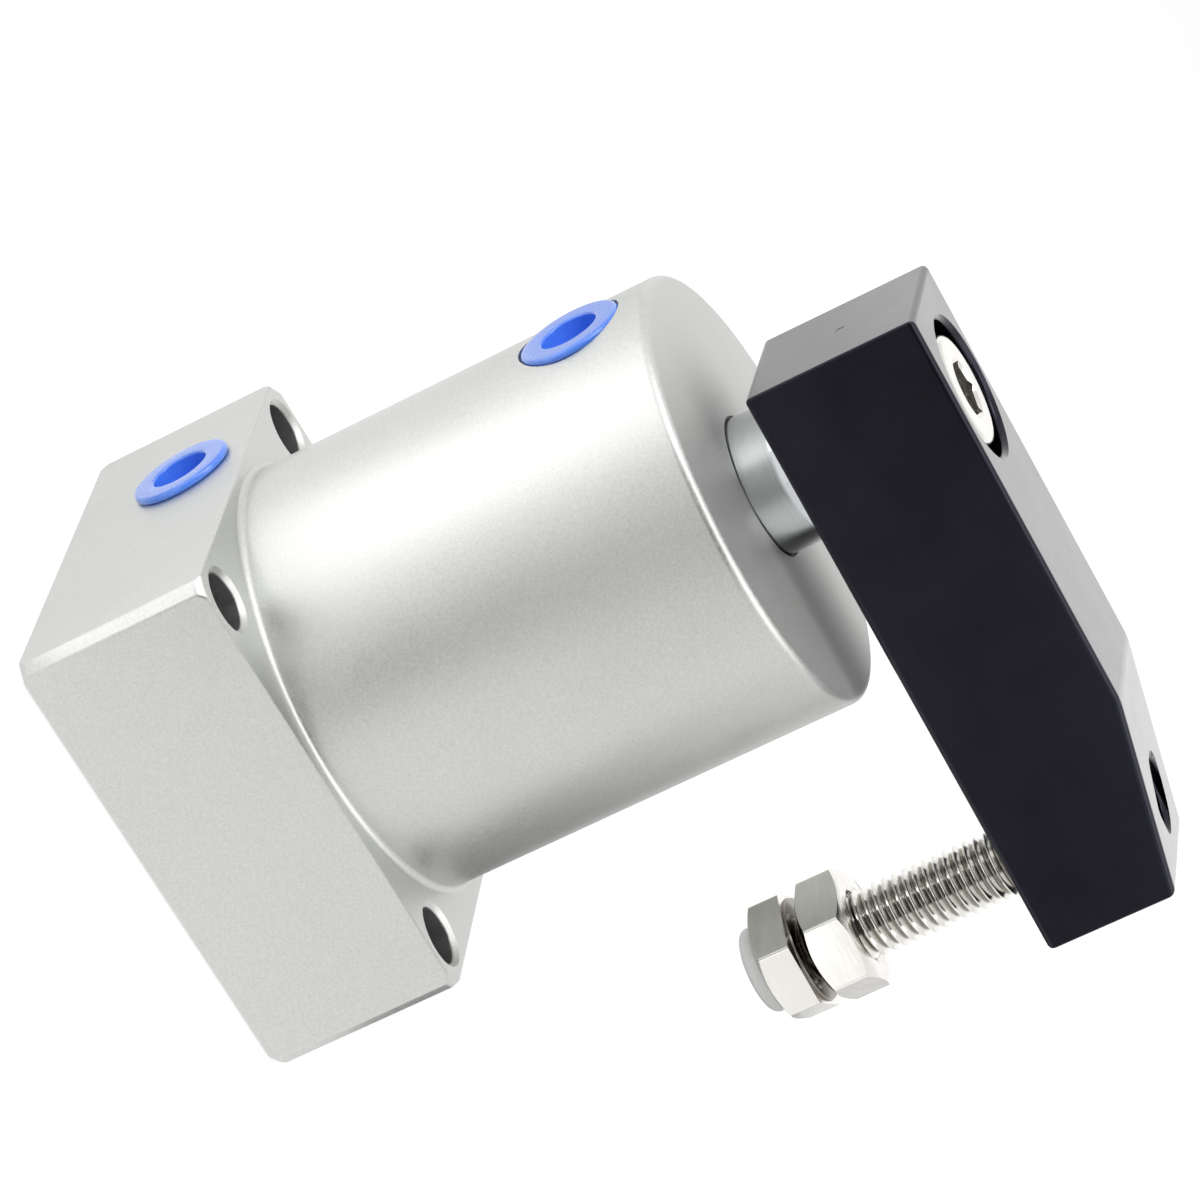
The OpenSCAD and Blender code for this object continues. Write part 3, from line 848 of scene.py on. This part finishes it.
def all_finishes() -> Finishes:
    """Makes one material for each slot.

    Returns:
        The materials by slot.
    """
    looks: dict[Slot, Finish] = {
        Slot.BODY: BlastedAluminium(),
        Slot.INNER: TurnedMetal(
            "turned_aluminium", (0.56, 0.56, 0.55), (0.70, 0.70, 0.69), 0.24, 0.40, 0.010
        ),
        Slot.ROD: TurnedMetal("ground_rod", (0.49, 0.50, 0.52), (0.58, 0.59, 0.60), 0.04, 0.10, 0.001),
        Slot.STEEL: TurnedMetal("turned_steel", (0.42, 0.42, 0.43), (0.56, 0.56, 0.57), 0.22, 0.38, 0.008),
        Slot.BUSH: TurnedMetal("sintered_bronze", (0.50, 0.32, 0.16), (0.66, 0.45, 0.24), 0.30, 0.48, 0.010),
        Slot.NICKEL: NickelPlate(),
        Slot.ARM: SatinBlack(),
        Slot.RUBBER: Moulded("seal_rubber", (0.010,) * 3, (0.020,) * 3, 0.45, 0.65, 0.02, 2400.0),
        Slot.PLUG: Moulded(
            "plug_plastic", (0.070, 0.235, 0.960), (0.092, 0.280, 0.990), 0.22, 0.32, 0.002, 1500.0,
            coat=0.80, glow=0.10, glow_mm=(0.4, 0.7, 1.6),
        ),
        Slot.PAD: Moulded(
            "white_nylon", (0.930, 0.930, 0.920), (0.960, 0.960, 0.950), 0.35, 0.50, 0.02, 1300.0,
            glow=0.25, glow_mm=(0.8, 0.8, 0.7),
        ),
    }
    return {slot: look.material() for slot, look in looks.items()}


@dataclass
class Housing(Assembly):
    """Square block with its barrel, bore, ports and mounting holes."""

    block_side: float = 54.0
    block_height: float = 22.6
    block_chamfer: float = 1.2
    corner_facet: float = 0.6
    block_edge: float = 0.22
    barrel_radius: float = 25.25
    barrel_edge: float = 1.0
    barrel_root: float = 0.8
    root_flare: float = 0.3
    root_sink: float = 0.04
    height: float = 72.6
    hole_at: float = 22.25
    hole_radius: float = 3.3
    hole_mouth: float = 0.55
    hole_edge: float = 0.3
    port_radius: float = 4.375
    port_depth: float = 6.2
    passage_radius: float = 2.0
    rear_port: Corner = (-27.0, 9.0, 14.1)
    front_port: Corner = (-24.4, 0.0, 62.9)
    front_port_floor: float = 17.7
    spot_radius: float = 6.1
    bore_end: float = 58.0
    rear_steps: tuple[Point, ...] = ((21.0, 2.0), (22.2, 3.5), (21.0, 10.5))
    bore_radius: float = 20.0
    front_steps: tuple[Point, ...] = ((10.05, 66.0), (8.3, 66.6), (11.4, 69.6), (8.3, 70.2), (10.4, 71.8))
    rod_mouth_radius: float = 8.3
    rod_mouth_edge: float = 0.1

    def block(self) -> Solid:
        """Makes the block with its chamfered edges and turned corners.

        Returns:
            The block.
        """
        half = self.block_side / 2
        block = box_bar("housing", (-half, -half, 0.0), (half, half, self.block_height))
        bevel_edges(block, is_upright, self.block_chamfer, 1)
        diagonal = math.sqrt(2)
        facet = (diagonal * half - self.block_chamfer / diagonal - self.corner_facet) / diagonal
        for x, y, up in itertools.product((-1, 1), repeat=3):
            level = self.block_height if up > 0 else 0.0
            plane_off(block, (facet * x, facet * y, level), (x, y, diagonal * up))
        bevel_edges(
            block, lambda edge: edge.calc_face_angle(0.0) > SMOOTH_ANGLE, self.block_edge, BLOCK_EDGE_STEPS
        )
        close_seams(block)
        return block

    def barrel(self) -> Solid:
        """Turns the barrel, with its rounded front edge and the fillet on the block.

        Returns:
            The barrel.
        """
        radius, root, base = self.barrel_radius, self.barrel_root, self.block_height
        return turned("barrel", [
            (0, base - OVERSHOOT), (radius + root, base - OVERSHOOT),
            (radius + root + self.root_flare, base - self.root_sink), (radius, base, root),
            (radius, self.height, self.barrel_edge), (0, self.height),
        ], BARREL_STEPS)

    def bore(self) -> Solid:
        """Turns the tool for the bore, the seats of cap and snap ring, and those of bush, seal and wiper.

        Each step is a radius and the height where it ends.

        Returns:
            The tool.
        """
        mouth, edge, top = self.rod_mouth_radius, self.rod_mouth_edge, self.height + OVERSHOOT
        low, corners = -OVERSHOOT, [(0, -OVERSHOOT)]
        bore, rod_mouth = (self.bore_radius, self.bore_end), (mouth, self.height - edge)
        for radius, high in (*self.rear_steps, bore, *self.front_steps, rod_mouth):
            corners += [(radius, low), (radius, high)]
            low = high
        return turned("bore_tool", [*corners, (mouth + edge + OVERSHOOT, top), (0, top)])

    def build(self) -> None:
        """Makes the housing and hands it over."""
        housing = self.block()
        join(housing, self.barrel(), Join.ADD)
        cut(housing, self.bore())
        for x, y in itertools.product((-self.hole_at, self.hole_at), repeat=2):
            hole = sinker(self.hole_radius, -OVERSHOOT, self.block_height, self.hole_mouth, self.hole_edge)
            cut(housing, place(hole, Matrix.Translation((x, y, 0.0))))
        reach = self.block_side / 2
        rear, front = outwards(self.rear_port), outwards(self.front_port)
        floor = self.front_port[0] + self.front_port_floor
        narrow, deep = self.passage_radius, self.bore_end - OVERSHOOT
        rear_passage = drill(narrow, -reach, OVERSHOOT - self.port_depth, PASSAGE_STEPS)
        front_passage = drill(narrow, deep, self.front_port[2], PASSAGE_STEPS)
        cut(
            housing,
            place(drill(self.port_radius, -self.port_depth, OVERSHOOT), rear), place(rear_passage, rear),
            place(drill(self.spot_radius, 0.0, reach), front),
            place(drill(self.port_radius, floor, OVERSHOOT), front),
            place(front_passage, Matrix.Translation((-self.front_port_floor, 0.0, 0.0))),
        )
        self.hand_over(housing, Body.CYLINDER, Slot.BODY, "cylinder_body")


def outwards(seat: Corner) -> Matrix:
    """Gives the place of a piece that sits on the -X side with its Z pointing out."""
    return Matrix.Translation(seat) @ Euler((0.0, math.radians(-90), 0.0)).to_matrix().to_4x4()


@dataclass
class DustPlugs(Assembly):
    """The two hollow plugs that close the air ports of a housing."""

    housing: Housing
    radius: float = 4.345
    taper: float = 0.25
    length: float = 5.8
    end_edge: float = 0.3
    flange_radius: float = 5.9
    flange_thickness: float = 0.9
    flange_edge: float = 0.44
    hollow_mouth_radius: float = 3.3
    hollow_mouth_edge: float = 0.3
    hollow_floor_radius: float = 3.0
    hollow_floor_edge: float = 0.5
    floor: float = 1.0

    def plug(self, name: str) -> Solid:
        """Turns one plug with a round-edged flange and a tapering hollow.

        Args:
            name: The object's name.

        Returns:
            The plug.
        """
        face, deep = self.flange_thickness, self.floor - self.length
        return turned(name, [
            (0, -self.length), (self.radius - self.taper, -self.length, self.end_edge), (self.radius, 0.0),
            (self.flange_radius, 0.0, self.flange_edge), (self.flange_radius, face, self.flange_edge),
            (self.hollow_mouth_radius, face, self.hollow_mouth_edge),
            (self.hollow_floor_radius, deep, self.hollow_floor_edge), (0, deep),
        ])

    def build(self) -> None:
        """Makes both plugs and hands them over."""
        for name, seat, node in (
            ("rear_dust_plug", self.housing.rear_port, "port_plug_rear"),
            ("front_dust_plug", self.housing.front_port, "port_plug_front"),
        ):
            plug = place(self.plug(name), outwards(seat))
            self.hand_over(plug, Body.CYLINDER, Slot.PLUG, node)


@dataclass
class SwingArm(Assembly):
    """Black bar with a sloping nose, a counterbore for its screw and a tapped hole for the clamp bolt."""

    turn: float = -5.0
    underside: float = 77.8
    back: float = 11.8
    reach: float = 58.0
    width: float = 20.0
    height: float = 20.0
    slope_start: float = 35.5
    slope_drop: float = 4.8
    edge: float = 0.7
    end_edge: float = 0.28
    counterbore_radius: float = 8.0
    counterbore_floor: float = 11.6
    counterbore_rim: float = 0.5
    counterbore_edge: float = 0.4
    screw_hole_radius: float = 4.3
    nose_radius: float = 6.03
    nose_height: float = 7.9
    nose_flat: float = 0.97
    bolt_reach: float = 50.2
    tap: Thread = Thread(4.06, 4.62)
    tap_mouth: Point = (1.0, 0.76)
    mark_side: float = 1.0
    mark_depth: float = 0.035

    def place_of(self, x: float = 0.0, z: float = 0.0) -> Matrix:
        """Gives the place of a point along the arm."""
        return Matrix.Rotation(math.radians(self.turn), 4, "Z") @ Matrix.Translation((x, 0.0, z))

    def bar(self) -> Solid:
        """Makes the bar with its slope and its rounded edges.

        Returns:
            The bar.
        """
        half = self.width / 2
        bar = box_bar("swing_arm", (-self.back, -half, 0.0), (self.reach, half, self.height))
        slope = Vector((self.slope_drop, 0.0, self.reach - self.slope_start)).normalized()
        plane_off(bar, (self.slope_start, 0.0, self.height), slope)
        with editing(bar, Pick.EDGES):
            select_edges(bar, lambda edge: edge.calc_face_angle(0.0) > BEND_ANGLE)
            bpy.ops.transform.edge_bevelweight(value=1.0)
            select_edges(bar, is_upright)
            bpy.ops.transform.edge_bevelweight(value=self.end_edge / self.edge - 1.0)
        modify(bar, "BEVEL", limit_method="WEIGHT", width=self.edge, segments=ARM_EDGE_STEPS)
        return bar

    def nose_tool(self) -> Solid:
        """Turns the tool for the rod's nose and planes its flat.

        Returns:
            The tool.
        """
        tool = drill(self.nose_radius, -OVERSHOOT, self.nose_height)
        plane_off(tool, (self.nose_flat - self.nose_radius, 0.0, 0.0), (-1.0, 0.0, 0.0))
        return tool

    def build(self) -> None:
        """Makes the arm and hands it over."""
        arm, axis, top = self.bar(), Matrix.Translation((self.bolt_reach, 0.0, 0.0)), self.height
        counterbore = sinker(
            self.counterbore_radius, self.counterbore_floor, top, self.counterbore_rim, self.counterbore_edge
        )
        mouth = self.tap.mouth(0.0, 1.0, *self.tap_mouth)
        side, middle = self.mark_side / 2, top / 2
        mark = box_bar(
            "mark", (-self.back - OVERSHOOT, -side, middle),
            (self.mark_depth - self.back, side, middle + self.mark_side),
        )
        cut(
            arm, self.nose_tool(), drill(self.screw_hole_radius, -OVERSHOOT, top), counterbore,
            place(self.tap.bar(-OVERSHOOT, top), axis), place(mouth, axis), mark,
        )
        place(arm, self.place_of(0.0, self.underside))
        self.hand_over(arm, Body.ROD, Slot.ARM, "clamp_arm")


@dataclass
class PistonRod(Assembly):
    """Ground rod with a tail in the piston, a hollow for the guide spindle and a flatted nose in the arm."""

    arm: SwingArm
    low: float = 12.5
    shoulder: float = 32.1
    tail_radius: float = 6.5
    radius: float = 8.0
    edge: float = 0.3
    nose_radius: float = 6.0
    nose_height: float = 7.6
    nose_flat: float = 1.0
    hollow_radius: float = 4.1
    hollow_end: float = 52.1
    screw_hole_radius: float = 4.03
    screw_hole_end: float = 62.9
    pin_height: float = 23.0
    pin_radius: float = 1.53

    def build(self) -> None:
        """Makes the rod and hands it over."""
        seat, edge = self.arm.underside, self.edge
        top = seat + self.nose_height
        rod = turned("ground_rod", [
            (0, self.low), (self.tail_radius, self.low, edge), (self.tail_radius, self.shoulder),
            (self.radius, self.shoulder, edge), (self.radius, seat, edge), (self.nose_radius, seat),
            (self.nose_radius, top, edge), (0, top),
        ])
        flat = self.nose_flat - self.nose_radius
        planer = box_bar(
            "planer", (-2 * self.radius, -self.radius, seat), (flat, self.radius, top + OVERSHOOT)
        )
        across = Matrix.Translation((0.0, 0.0, self.pin_height)) @ Matrix.Rotation(math.radians(90), 4, "Y")
        cut(
            rod, place(planer, self.arm.place_of()),
            drill(self.hollow_radius, self.low - OVERSHOOT, self.hollow_end),
            drill(self.screw_hole_radius, self.screw_hole_end, top + OVERSHOOT),
            place(drill(self.pin_radius, -self.radius, self.radius), across),
        )
        self.hand_over(rod, Body.ROD, Slot.ROD, "piston_rod")


@dataclass
class ArmScrew(Assembly):
    """Socket screw that holds the arm on the rod."""

    arm: SwingArm
    seat: float = 89.4
    length: float = 25.0
    tip: float = 0.8
    neck: float = 0.5
    head_radius: float = 6.5
    head_height: float = 8.0
    head_edge: float = 0.8
    seat_edge: float = 0.2
    socket_width: float = 6.0
    socket_depth: float = 4.0
    socket_turn: float = 18.0
    socket_point: float = 1.6
    point_room: Point = (0.05, 0.01)
    socket_mouth: Point = (0.35, 0.3)
    thread: Thread = Thread(3.33, 3.98)
    thread_sink: float = 0.2

    def build(self) -> None:
        """Makes the screw and hands it over."""
        top, crest = self.head_height, self.thread.crest_radius
        screw = turned("arm_socket_screw", [
            (0, -self.neck), (crest, -self.neck), (crest, 0.0), (self.head_radius, 0.0, self.seat_edge),
            (self.head_radius, top, self.head_edge), (0, top),
        ])
        floor, corner = top - self.socket_depth, self.socket_width / math.sqrt(3)
        inset, lift = self.point_room
        wide, narrow = self.socket_mouth
        cut(
            screw,
            hexagon("socket", self.socket_width, floor, top + OVERSHOOT, self.socket_turn, 0.0),
            turned("socket_floor", [
                (0, floor - self.socket_point), (self.socket_width / 2 - inset, floor + lift),
                (0, floor + lift),
            ]),
            turned("socket_mouth", [
                (0, top - wide), (corner - narrow, top - wide), (corner + wide, top + narrow),
                (0, top + narrow),
            ]),
        )
        shank, end, crest = self.thread.bar(-self.length, 0.0), -self.length, crest + CREST_ROOM
        join(shank, turned("shank", [
            (0, end), (crest - self.tip, end), (crest, end + self.tip), (crest, -self.thread_sink),
            (0, -self.thread_sink),
        ]), Join.KEEP)
        join(screw, shank, Join.ADD)
        place(screw, self.arm.place_of(0.0, self.seat))
        self.hand_over(screw, Body.ROD, Slot.NICKEL, "arm_screw")


@dataclass
class ClampBolt(Assembly):
    """Hex bolt in the arm's end, with its lock nut and the nylon pad in its head."""

    arm: SwingArm
    head_bottom: float = 47.0
    head_height: float = 4.4
    washer_height: float = 0.4
    washer_sink: float = 0.5
    washer_edge: float = 0.15
    width: float = 13.0
    head_turn: float = 1.0
    length: float = 35.0
    tip: float = 1.0
    nut_gap: float = 1.1
    nut_height: float = 5.6
    nut_turn: float = -5.0
    nut_mouth: Point = (1.1, 0.72)
    face_share: float = 0.94
    chamfer_angle: float = 30.0
    chamfer_room: float = 0.05
    corner_edge: float = 0.25
    pad_bottom: float = 45.0
    pad_radius: float = 5.0
    pad_edges: Point = (0.8, 0.25)
    stem_radius: float = 2.25
    stem_length: float = 3.0
    stem_play: float = 0.03
    thread: Thread = Thread(3.32, 3.97)
    thread_sink: float = 0.3
    nut_tap: Thread = Thread(4.03, 4.55)
    # Depth into the thread roots, and margins round the gap, of the painted shade on the bolt's nickel.
    painted_shade_depth: float = 0.24
    painted_shade_room: Point = (0.02, 0.1)

    @property
    def head_top(self) -> float:
        """Height of the hex's upper end."""
        return self.head_bottom + self.head_height

    @property
    def seat(self) -> float:
        """Height of the washer face."""
        return self.head_top + self.washer_height

    @property
    def face_radius(self) -> float:
        """Radius of the round faces that the chamfers leave."""
        return self.width / 2 * self.face_share

    def hex_bar(self, name: str, low: float, high: float, turn: float, both: bool) -> Solid:
        """Makes a hex with its turned chamfers.

        Args:
            name: The object's name.
            low: Height of its lower end.
            high: Height of its upper end.
            turn: Its turn, in degrees.
            both: Whether the upper end is chamfered too.

        Returns:
            The hex.
        """
        bar = hexagon(name, self.width, low - OVERSHOOT, high + OVERSHOOT, turn, self.corner_edge)
        face, corner = self.face_radius, self.width / math.sqrt(3) + self.chamfer_room
        drop = (corner - face) * math.tan(math.radians(self.chamfer_angle))
        top = [(corner, high - drop), (face, high)] if both else [(corner, high)]
        form = turned("chamfer_tool", [(0, low), (face, low), (corner, low + drop), *top, (0, high)])
        join(bar, form, Join.KEEP)
        return bar

    def bolt(self) -> Solid:
        """Makes the bolt with its head, washer face and thread.

        Returns:
            The bolt.
        """
        low, high, seat, washer = self.head_bottom, self.head_top, self.seat, self.face_radius
        bolt = self.hex_bar("clamp_screw", low, high, self.head_turn, False)
        sunk = high - self.washer_sink
        join(bolt, turned("washer_face", [
            (0, sunk), (washer, sunk), (washer, seat, self.washer_edge), (0, seat),
        ]), Join.ADD)
        play = self.stem_play
        cut(bolt, drill(self.stem_radius + play, low - OVERSHOOT, low + self.stem_length + play, STEM_STEPS))
        start, end, crest = seat - self.thread_sink, seat + self.length, self.thread.crest_radius + CREST_ROOM
        shank = self.thread.bar(high, end)
        join(shank, turned("shank", [
            (0, start), (crest, start), (crest, end - self.tip), (crest - self.tip, end), (0, end),
        ]), Join.KEEP)
        join(bolt, shank, Join.ADD)
        return bolt

    def nut(self) -> Solid:
        """Makes the lock nut with its tapped hole.

        Returns:
            The nut.
        """
        low = self.seat + self.nut_gap
        high = low + self.nut_height
        nut = self.hex_bar("bolt_lock_nut", low, high, self.nut_turn, True)
        cut(nut, self.nut_tap.bar(low, high))
        for end, inwards in ((low, 1.0), (high, -1.0)):
            cut(nut, self.nut_tap.mouth(end, inwards, *self.nut_mouth))
        return nut

    def pad(self) -> Solid:
        """Turns the pad with its rounded rim and its stem.

        Returns:
            The pad.
        """
        low, high, end = self.pad_bottom, self.head_bottom, self.head_bottom + self.stem_length
        rim, shoulder = self.pad_edges
        return turned("nylon_pad", [
            (0, low), (self.pad_radius, low, rim), (self.pad_radius, high, shoulder),
            (self.stem_radius, high), (self.stem_radius, end), (0, end),
        ])

    def build(self) -> None:
        """Makes the bolt, its nut and its pad and hands them over."""
        at, root = self.arm.place_of(self.arm.bolt_reach), self.thread.root_radius
        margin, past = self.painted_shade_room
        # The bolt and nut get nickel with painted shade, darker in the thread roots and in the gap between
        # head and nut.
        nickel = ThreadNickelPaintedShade(
            axis=(at.translation.x, at.translation.y), roots_mm=(root, root + self.painted_shade_depth),
            gap_mm=(self.head_top - margin, self.seat + self.nut_gap + margin),
            gap_reach=self.face_radius + past,
        )
        self.finishes = {**self.finishes, Slot.NICKEL: nickel.material()}
        for piece, slot, node in (
            (self.bolt(), Slot.NICKEL, "clamp_bolt"), (self.nut(), Slot.NICKEL, "lock_nut"),
            (self.pad(), Slot.PAD, "bolt_pad"),
        ):
            self.hand_over(place(piece, at), Body.BOLT, slot, node)


def dress_cad_nodes(frame: dict, finishes: Finishes) -> None:
    """Gives each CAD node the finish of its slot.

    Args:
        finishes: The materials by slot.
    """
    slots = {part["node"]: Slot(part["material_slot"]) for part in frame["record"]["subparts"]}
    for name, node in frame["nodes"].items():
        for holder in node.material_slots:
            holder.material = finishes[slots[name]]
        LOG.info("%s: %s", name, slots[name].value)


@dataclass(frozen=True)
class Softbox:
    """A square lamp that faces the object."""

    name: str
    azimuth: float
    elevation: float
    distance: float
    size: float
    watts: float
    aim: float = 0.05

    def hang(self) -> None:
        """Adds the lamp."""
        data = bpy.data.lights.new(self.name, "AREA")
        data.shape, data.size, data.energy = "SQUARE", self.size, self.watts
        lamp = bpy.data.objects.new(self.name, data)
        turn = Euler((0.0, math.radians(90.0 - self.elevation), math.radians(self.azimuth)))
        lamp.rotation_euler = turn
        lamp.location = turn.to_matrix() @ Vector((0.0, 0.0, self.distance)) + Vector((0.0, 0.0, self.aim))
        bpy.context.scene.collection.objects.link(lamp)


@dataclass(frozen=True)
class Card:
    """A fan-shaped card about the barrel's axis, with a wall at its far edge, that only reflections see."""

    name: str
    azimuth: float
    spread: float
    near: float
    far: float
    rise: float
    strength: float
    lift: float = 0.5

    def lay(self) -> None:
        """Adds the card."""
        deselect_all()
        bpy.ops.mesh.primitive_plane_add(size=1.0)
        card = added(self.name)
        middle = (self.near + self.far) / 2
        width = 2 * self.near * math.tan(math.radians(self.spread))
        with editing(card, Pick.EDGES, whole=True):
            bpy.ops.transform.resize(value=(self.far - self.near, width, 1.0))
            bpy.ops.transform.translate(value=(middle, 0.0, self.lift))
            select_edges(card, lambda edge: min(v.co.x for v in edge.verts) > middle)
            flare = self.far / self.near
            bpy.ops.transform.resize(value=(1.0, flare, 1.0), center_override=(self.far, 0.0, self.lift))
            if self.rise:
                bpy.ops.mesh.extrude_edges_move(TRANSFORM_OT_translate={"value": (0.0, 0.0, self.rise)})
        place(card, Matrix.Scale(MM, 4) @ Matrix.Rotation(math.radians(self.azimuth), 4, "Z"))
        material = bpy.data.materials.new(self.name)
        wiring = Wiring(material)
        glow = wiring.add("Emission", Strength=self.strength)
        wiring.add("OutputMaterial", Surface=glow.outputs["Emission"])
        card.data.materials.append(material)
        card.visible_camera = card.visible_diffuse = card.visible_shadow = False
        card.visible_transmission = card.visible_volume_scatter = False


@dataclass
class Studio:
    """Camera, pale floor, lamps and the cards that metal reflects."""

    camera_at: Corner = (-187.003, -512.329, 209.308)
    camera_turn: Corner = (55.845970, -60.191913, 10.054604)
    lens: float = 157.544
    sensor: float = 36.0
    clip: Point = (0.01, 20.0)
    floor_radius: float = 4.0
    floor_drop: float = 0.2
    floor_albedo: float = 0.50
    floor_glow: float = 0.66
    sky_seen: float = 1.0
    sky_light: float = 0.55
    lamps: tuple[Softbox, ...] = (
        Softbox("key_softbox", 205.0, 42.0, 0.95, 0.60, 4.5),
        Softbox("fill_softbox", 320.0, 55.0, 1.10, 0.80, 3.0),
    )
    cards: tuple[Card, ...] = (
        Card("bright_card", 183.0, 24.0, 85.0, 330.0, 0.0, 2.5),
        Card("bright_panel", 183.0, 24.0, 328.0, 330.0, 230.0, 1.4, 30.0),
        Card("edge_card", 214.0, 7.0, 42.0, 105.0, 0.0, 2.0),
        Card("dark_card", 250.0, 13.0, 80.0, 190.0, 0.0, 0.25),
        Card("dark_panel", 248.0, 34.0, 298.0, 300.0, 460.0, 0.05, 45.0),
        Card("nut_card", 284.0, 7.0, 150.0, 240.0, 0.0, 1.7),
        Card("top_card", 250.0, 45.0, 60.0, 280.0, 0.0, 3.0, 600.0),
        Card("side_card", 8.0, 27.0, 45.0, 185.0, 0.0, 0.15),
        Card("nut_side_card", 22.0, 14.0, 195.0, 300.0, 0.0, 0.75),
        Card("arm_near_card", 286.0, 24.0, 250.0, 284.0, 0.0, 0.03),
        Card("arm_card", 286.0, 24.0, 338.0, 480.0, 0.0, 0.03),
        Card("end_card", 102.0, 14.0, 200.0, 420.0, 0.0, 0.87),
        Card("back_card", 70.0, 45.0, 560.0, 600.0, 450.0, 1.19),
    )

    def camera(self) -> None:
        """Sets the camera of the photograph."""
        data = bpy.data.cameras.new("photo_camera")
        data.lens, data.sensor_width, data.sensor_fit = self.lens, self.sensor, "HORIZONTAL"
        data.clip_start, data.clip_end = self.clip
        camera = bpy.data.objects.new("photo_camera", data)
        camera.location = Vector(self.camera_at) * MM
        camera.rotation_euler = Euler([math.radians(a) for a in self.camera_turn])
        bpy.context.scene.collection.objects.link(camera)
        bpy.context.scene.camera = camera

    def floor(self) -> None:
        """Lays a wide round floor that stays white and keeps the shadow."""
        deselect_all()
        bpy.ops.mesh.primitive_circle_add(
            vertices=FLOOR_STEPS, radius=self.floor_radius, fill_type="NGON",
            location=(0, 0, -self.floor_drop * MM),
        )
        floor = added("studio_floor")
        material = bpy.data.materials.new("studio_floor")
        wiring = Wiring(material)
        both = wiring.add("AddShader")
        matt = wiring.add("BsdfDiffuse", Color=(self.floor_albedo,) * 3 + (1.0,))
        shine = wiring.combine("MULTIPLY", wiring.seen_rays(), self.floor_glow)
        glow = wiring.add("Emission", Strength=shine)
        wiring.feed(both.inputs[0], matt.outputs["BSDF"])
        wiring.feed(both.inputs[1], glow.outputs["Emission"])
        wiring.add("OutputMaterial", Surface=both.outputs["Shader"])
        floor.data.materials.append(material)

    def sky(self) -> None:
        """Makes the world white to the eye and to metal, and softer as a light."""
        world = bpy.data.worlds.new("studio_sky")
        bpy.context.scene.world = world
        wiring = Wiring(world)
        span = wiring.add("MapRange", Value=wiring.seen_rays(), To_Min=self.sky_light, To_Max=self.sky_seen)
        light = wiring.add("Background", Color=(1.0, 1.0, 1.0, 1.0), Strength=span.outputs["Result"])
        wiring.add("OutputWorld", Surface=light.outputs["Background"])

    def build(self) -> None:
        """Sets up the whole studio."""
        self.camera()
        self.floor()
        self.sky()
        for lamp in self.lamps:
            lamp.hang()
        for card in self.cards:
            card.lay()
        bpy.context.scene.view_settings.view_transform = "Standard"


def main() -> None:
    """Builds the pieces in order."""
    logging.basicConfig(level=logging.INFO, format="%(name)s %(message)s")
    for leftover in list(bpy.data.objects):
        bpy.data.objects.remove(leftover)
    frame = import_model()
    finishes = all_finishes()
    dress_cad_nodes(frame, finishes)
    housing, arm = Housing(finishes), SwingArm(finishes)
    for assembly in (
        housing, DustPlugs(finishes, housing), arm, PistonRod(finishes, arm), ArmScrew(finishes, arm),
        ClampBolt(finishes, arm), Studio(),
    ):
        assembly.build()
    deselect_all()


if __name__ == "__main__":
    main()
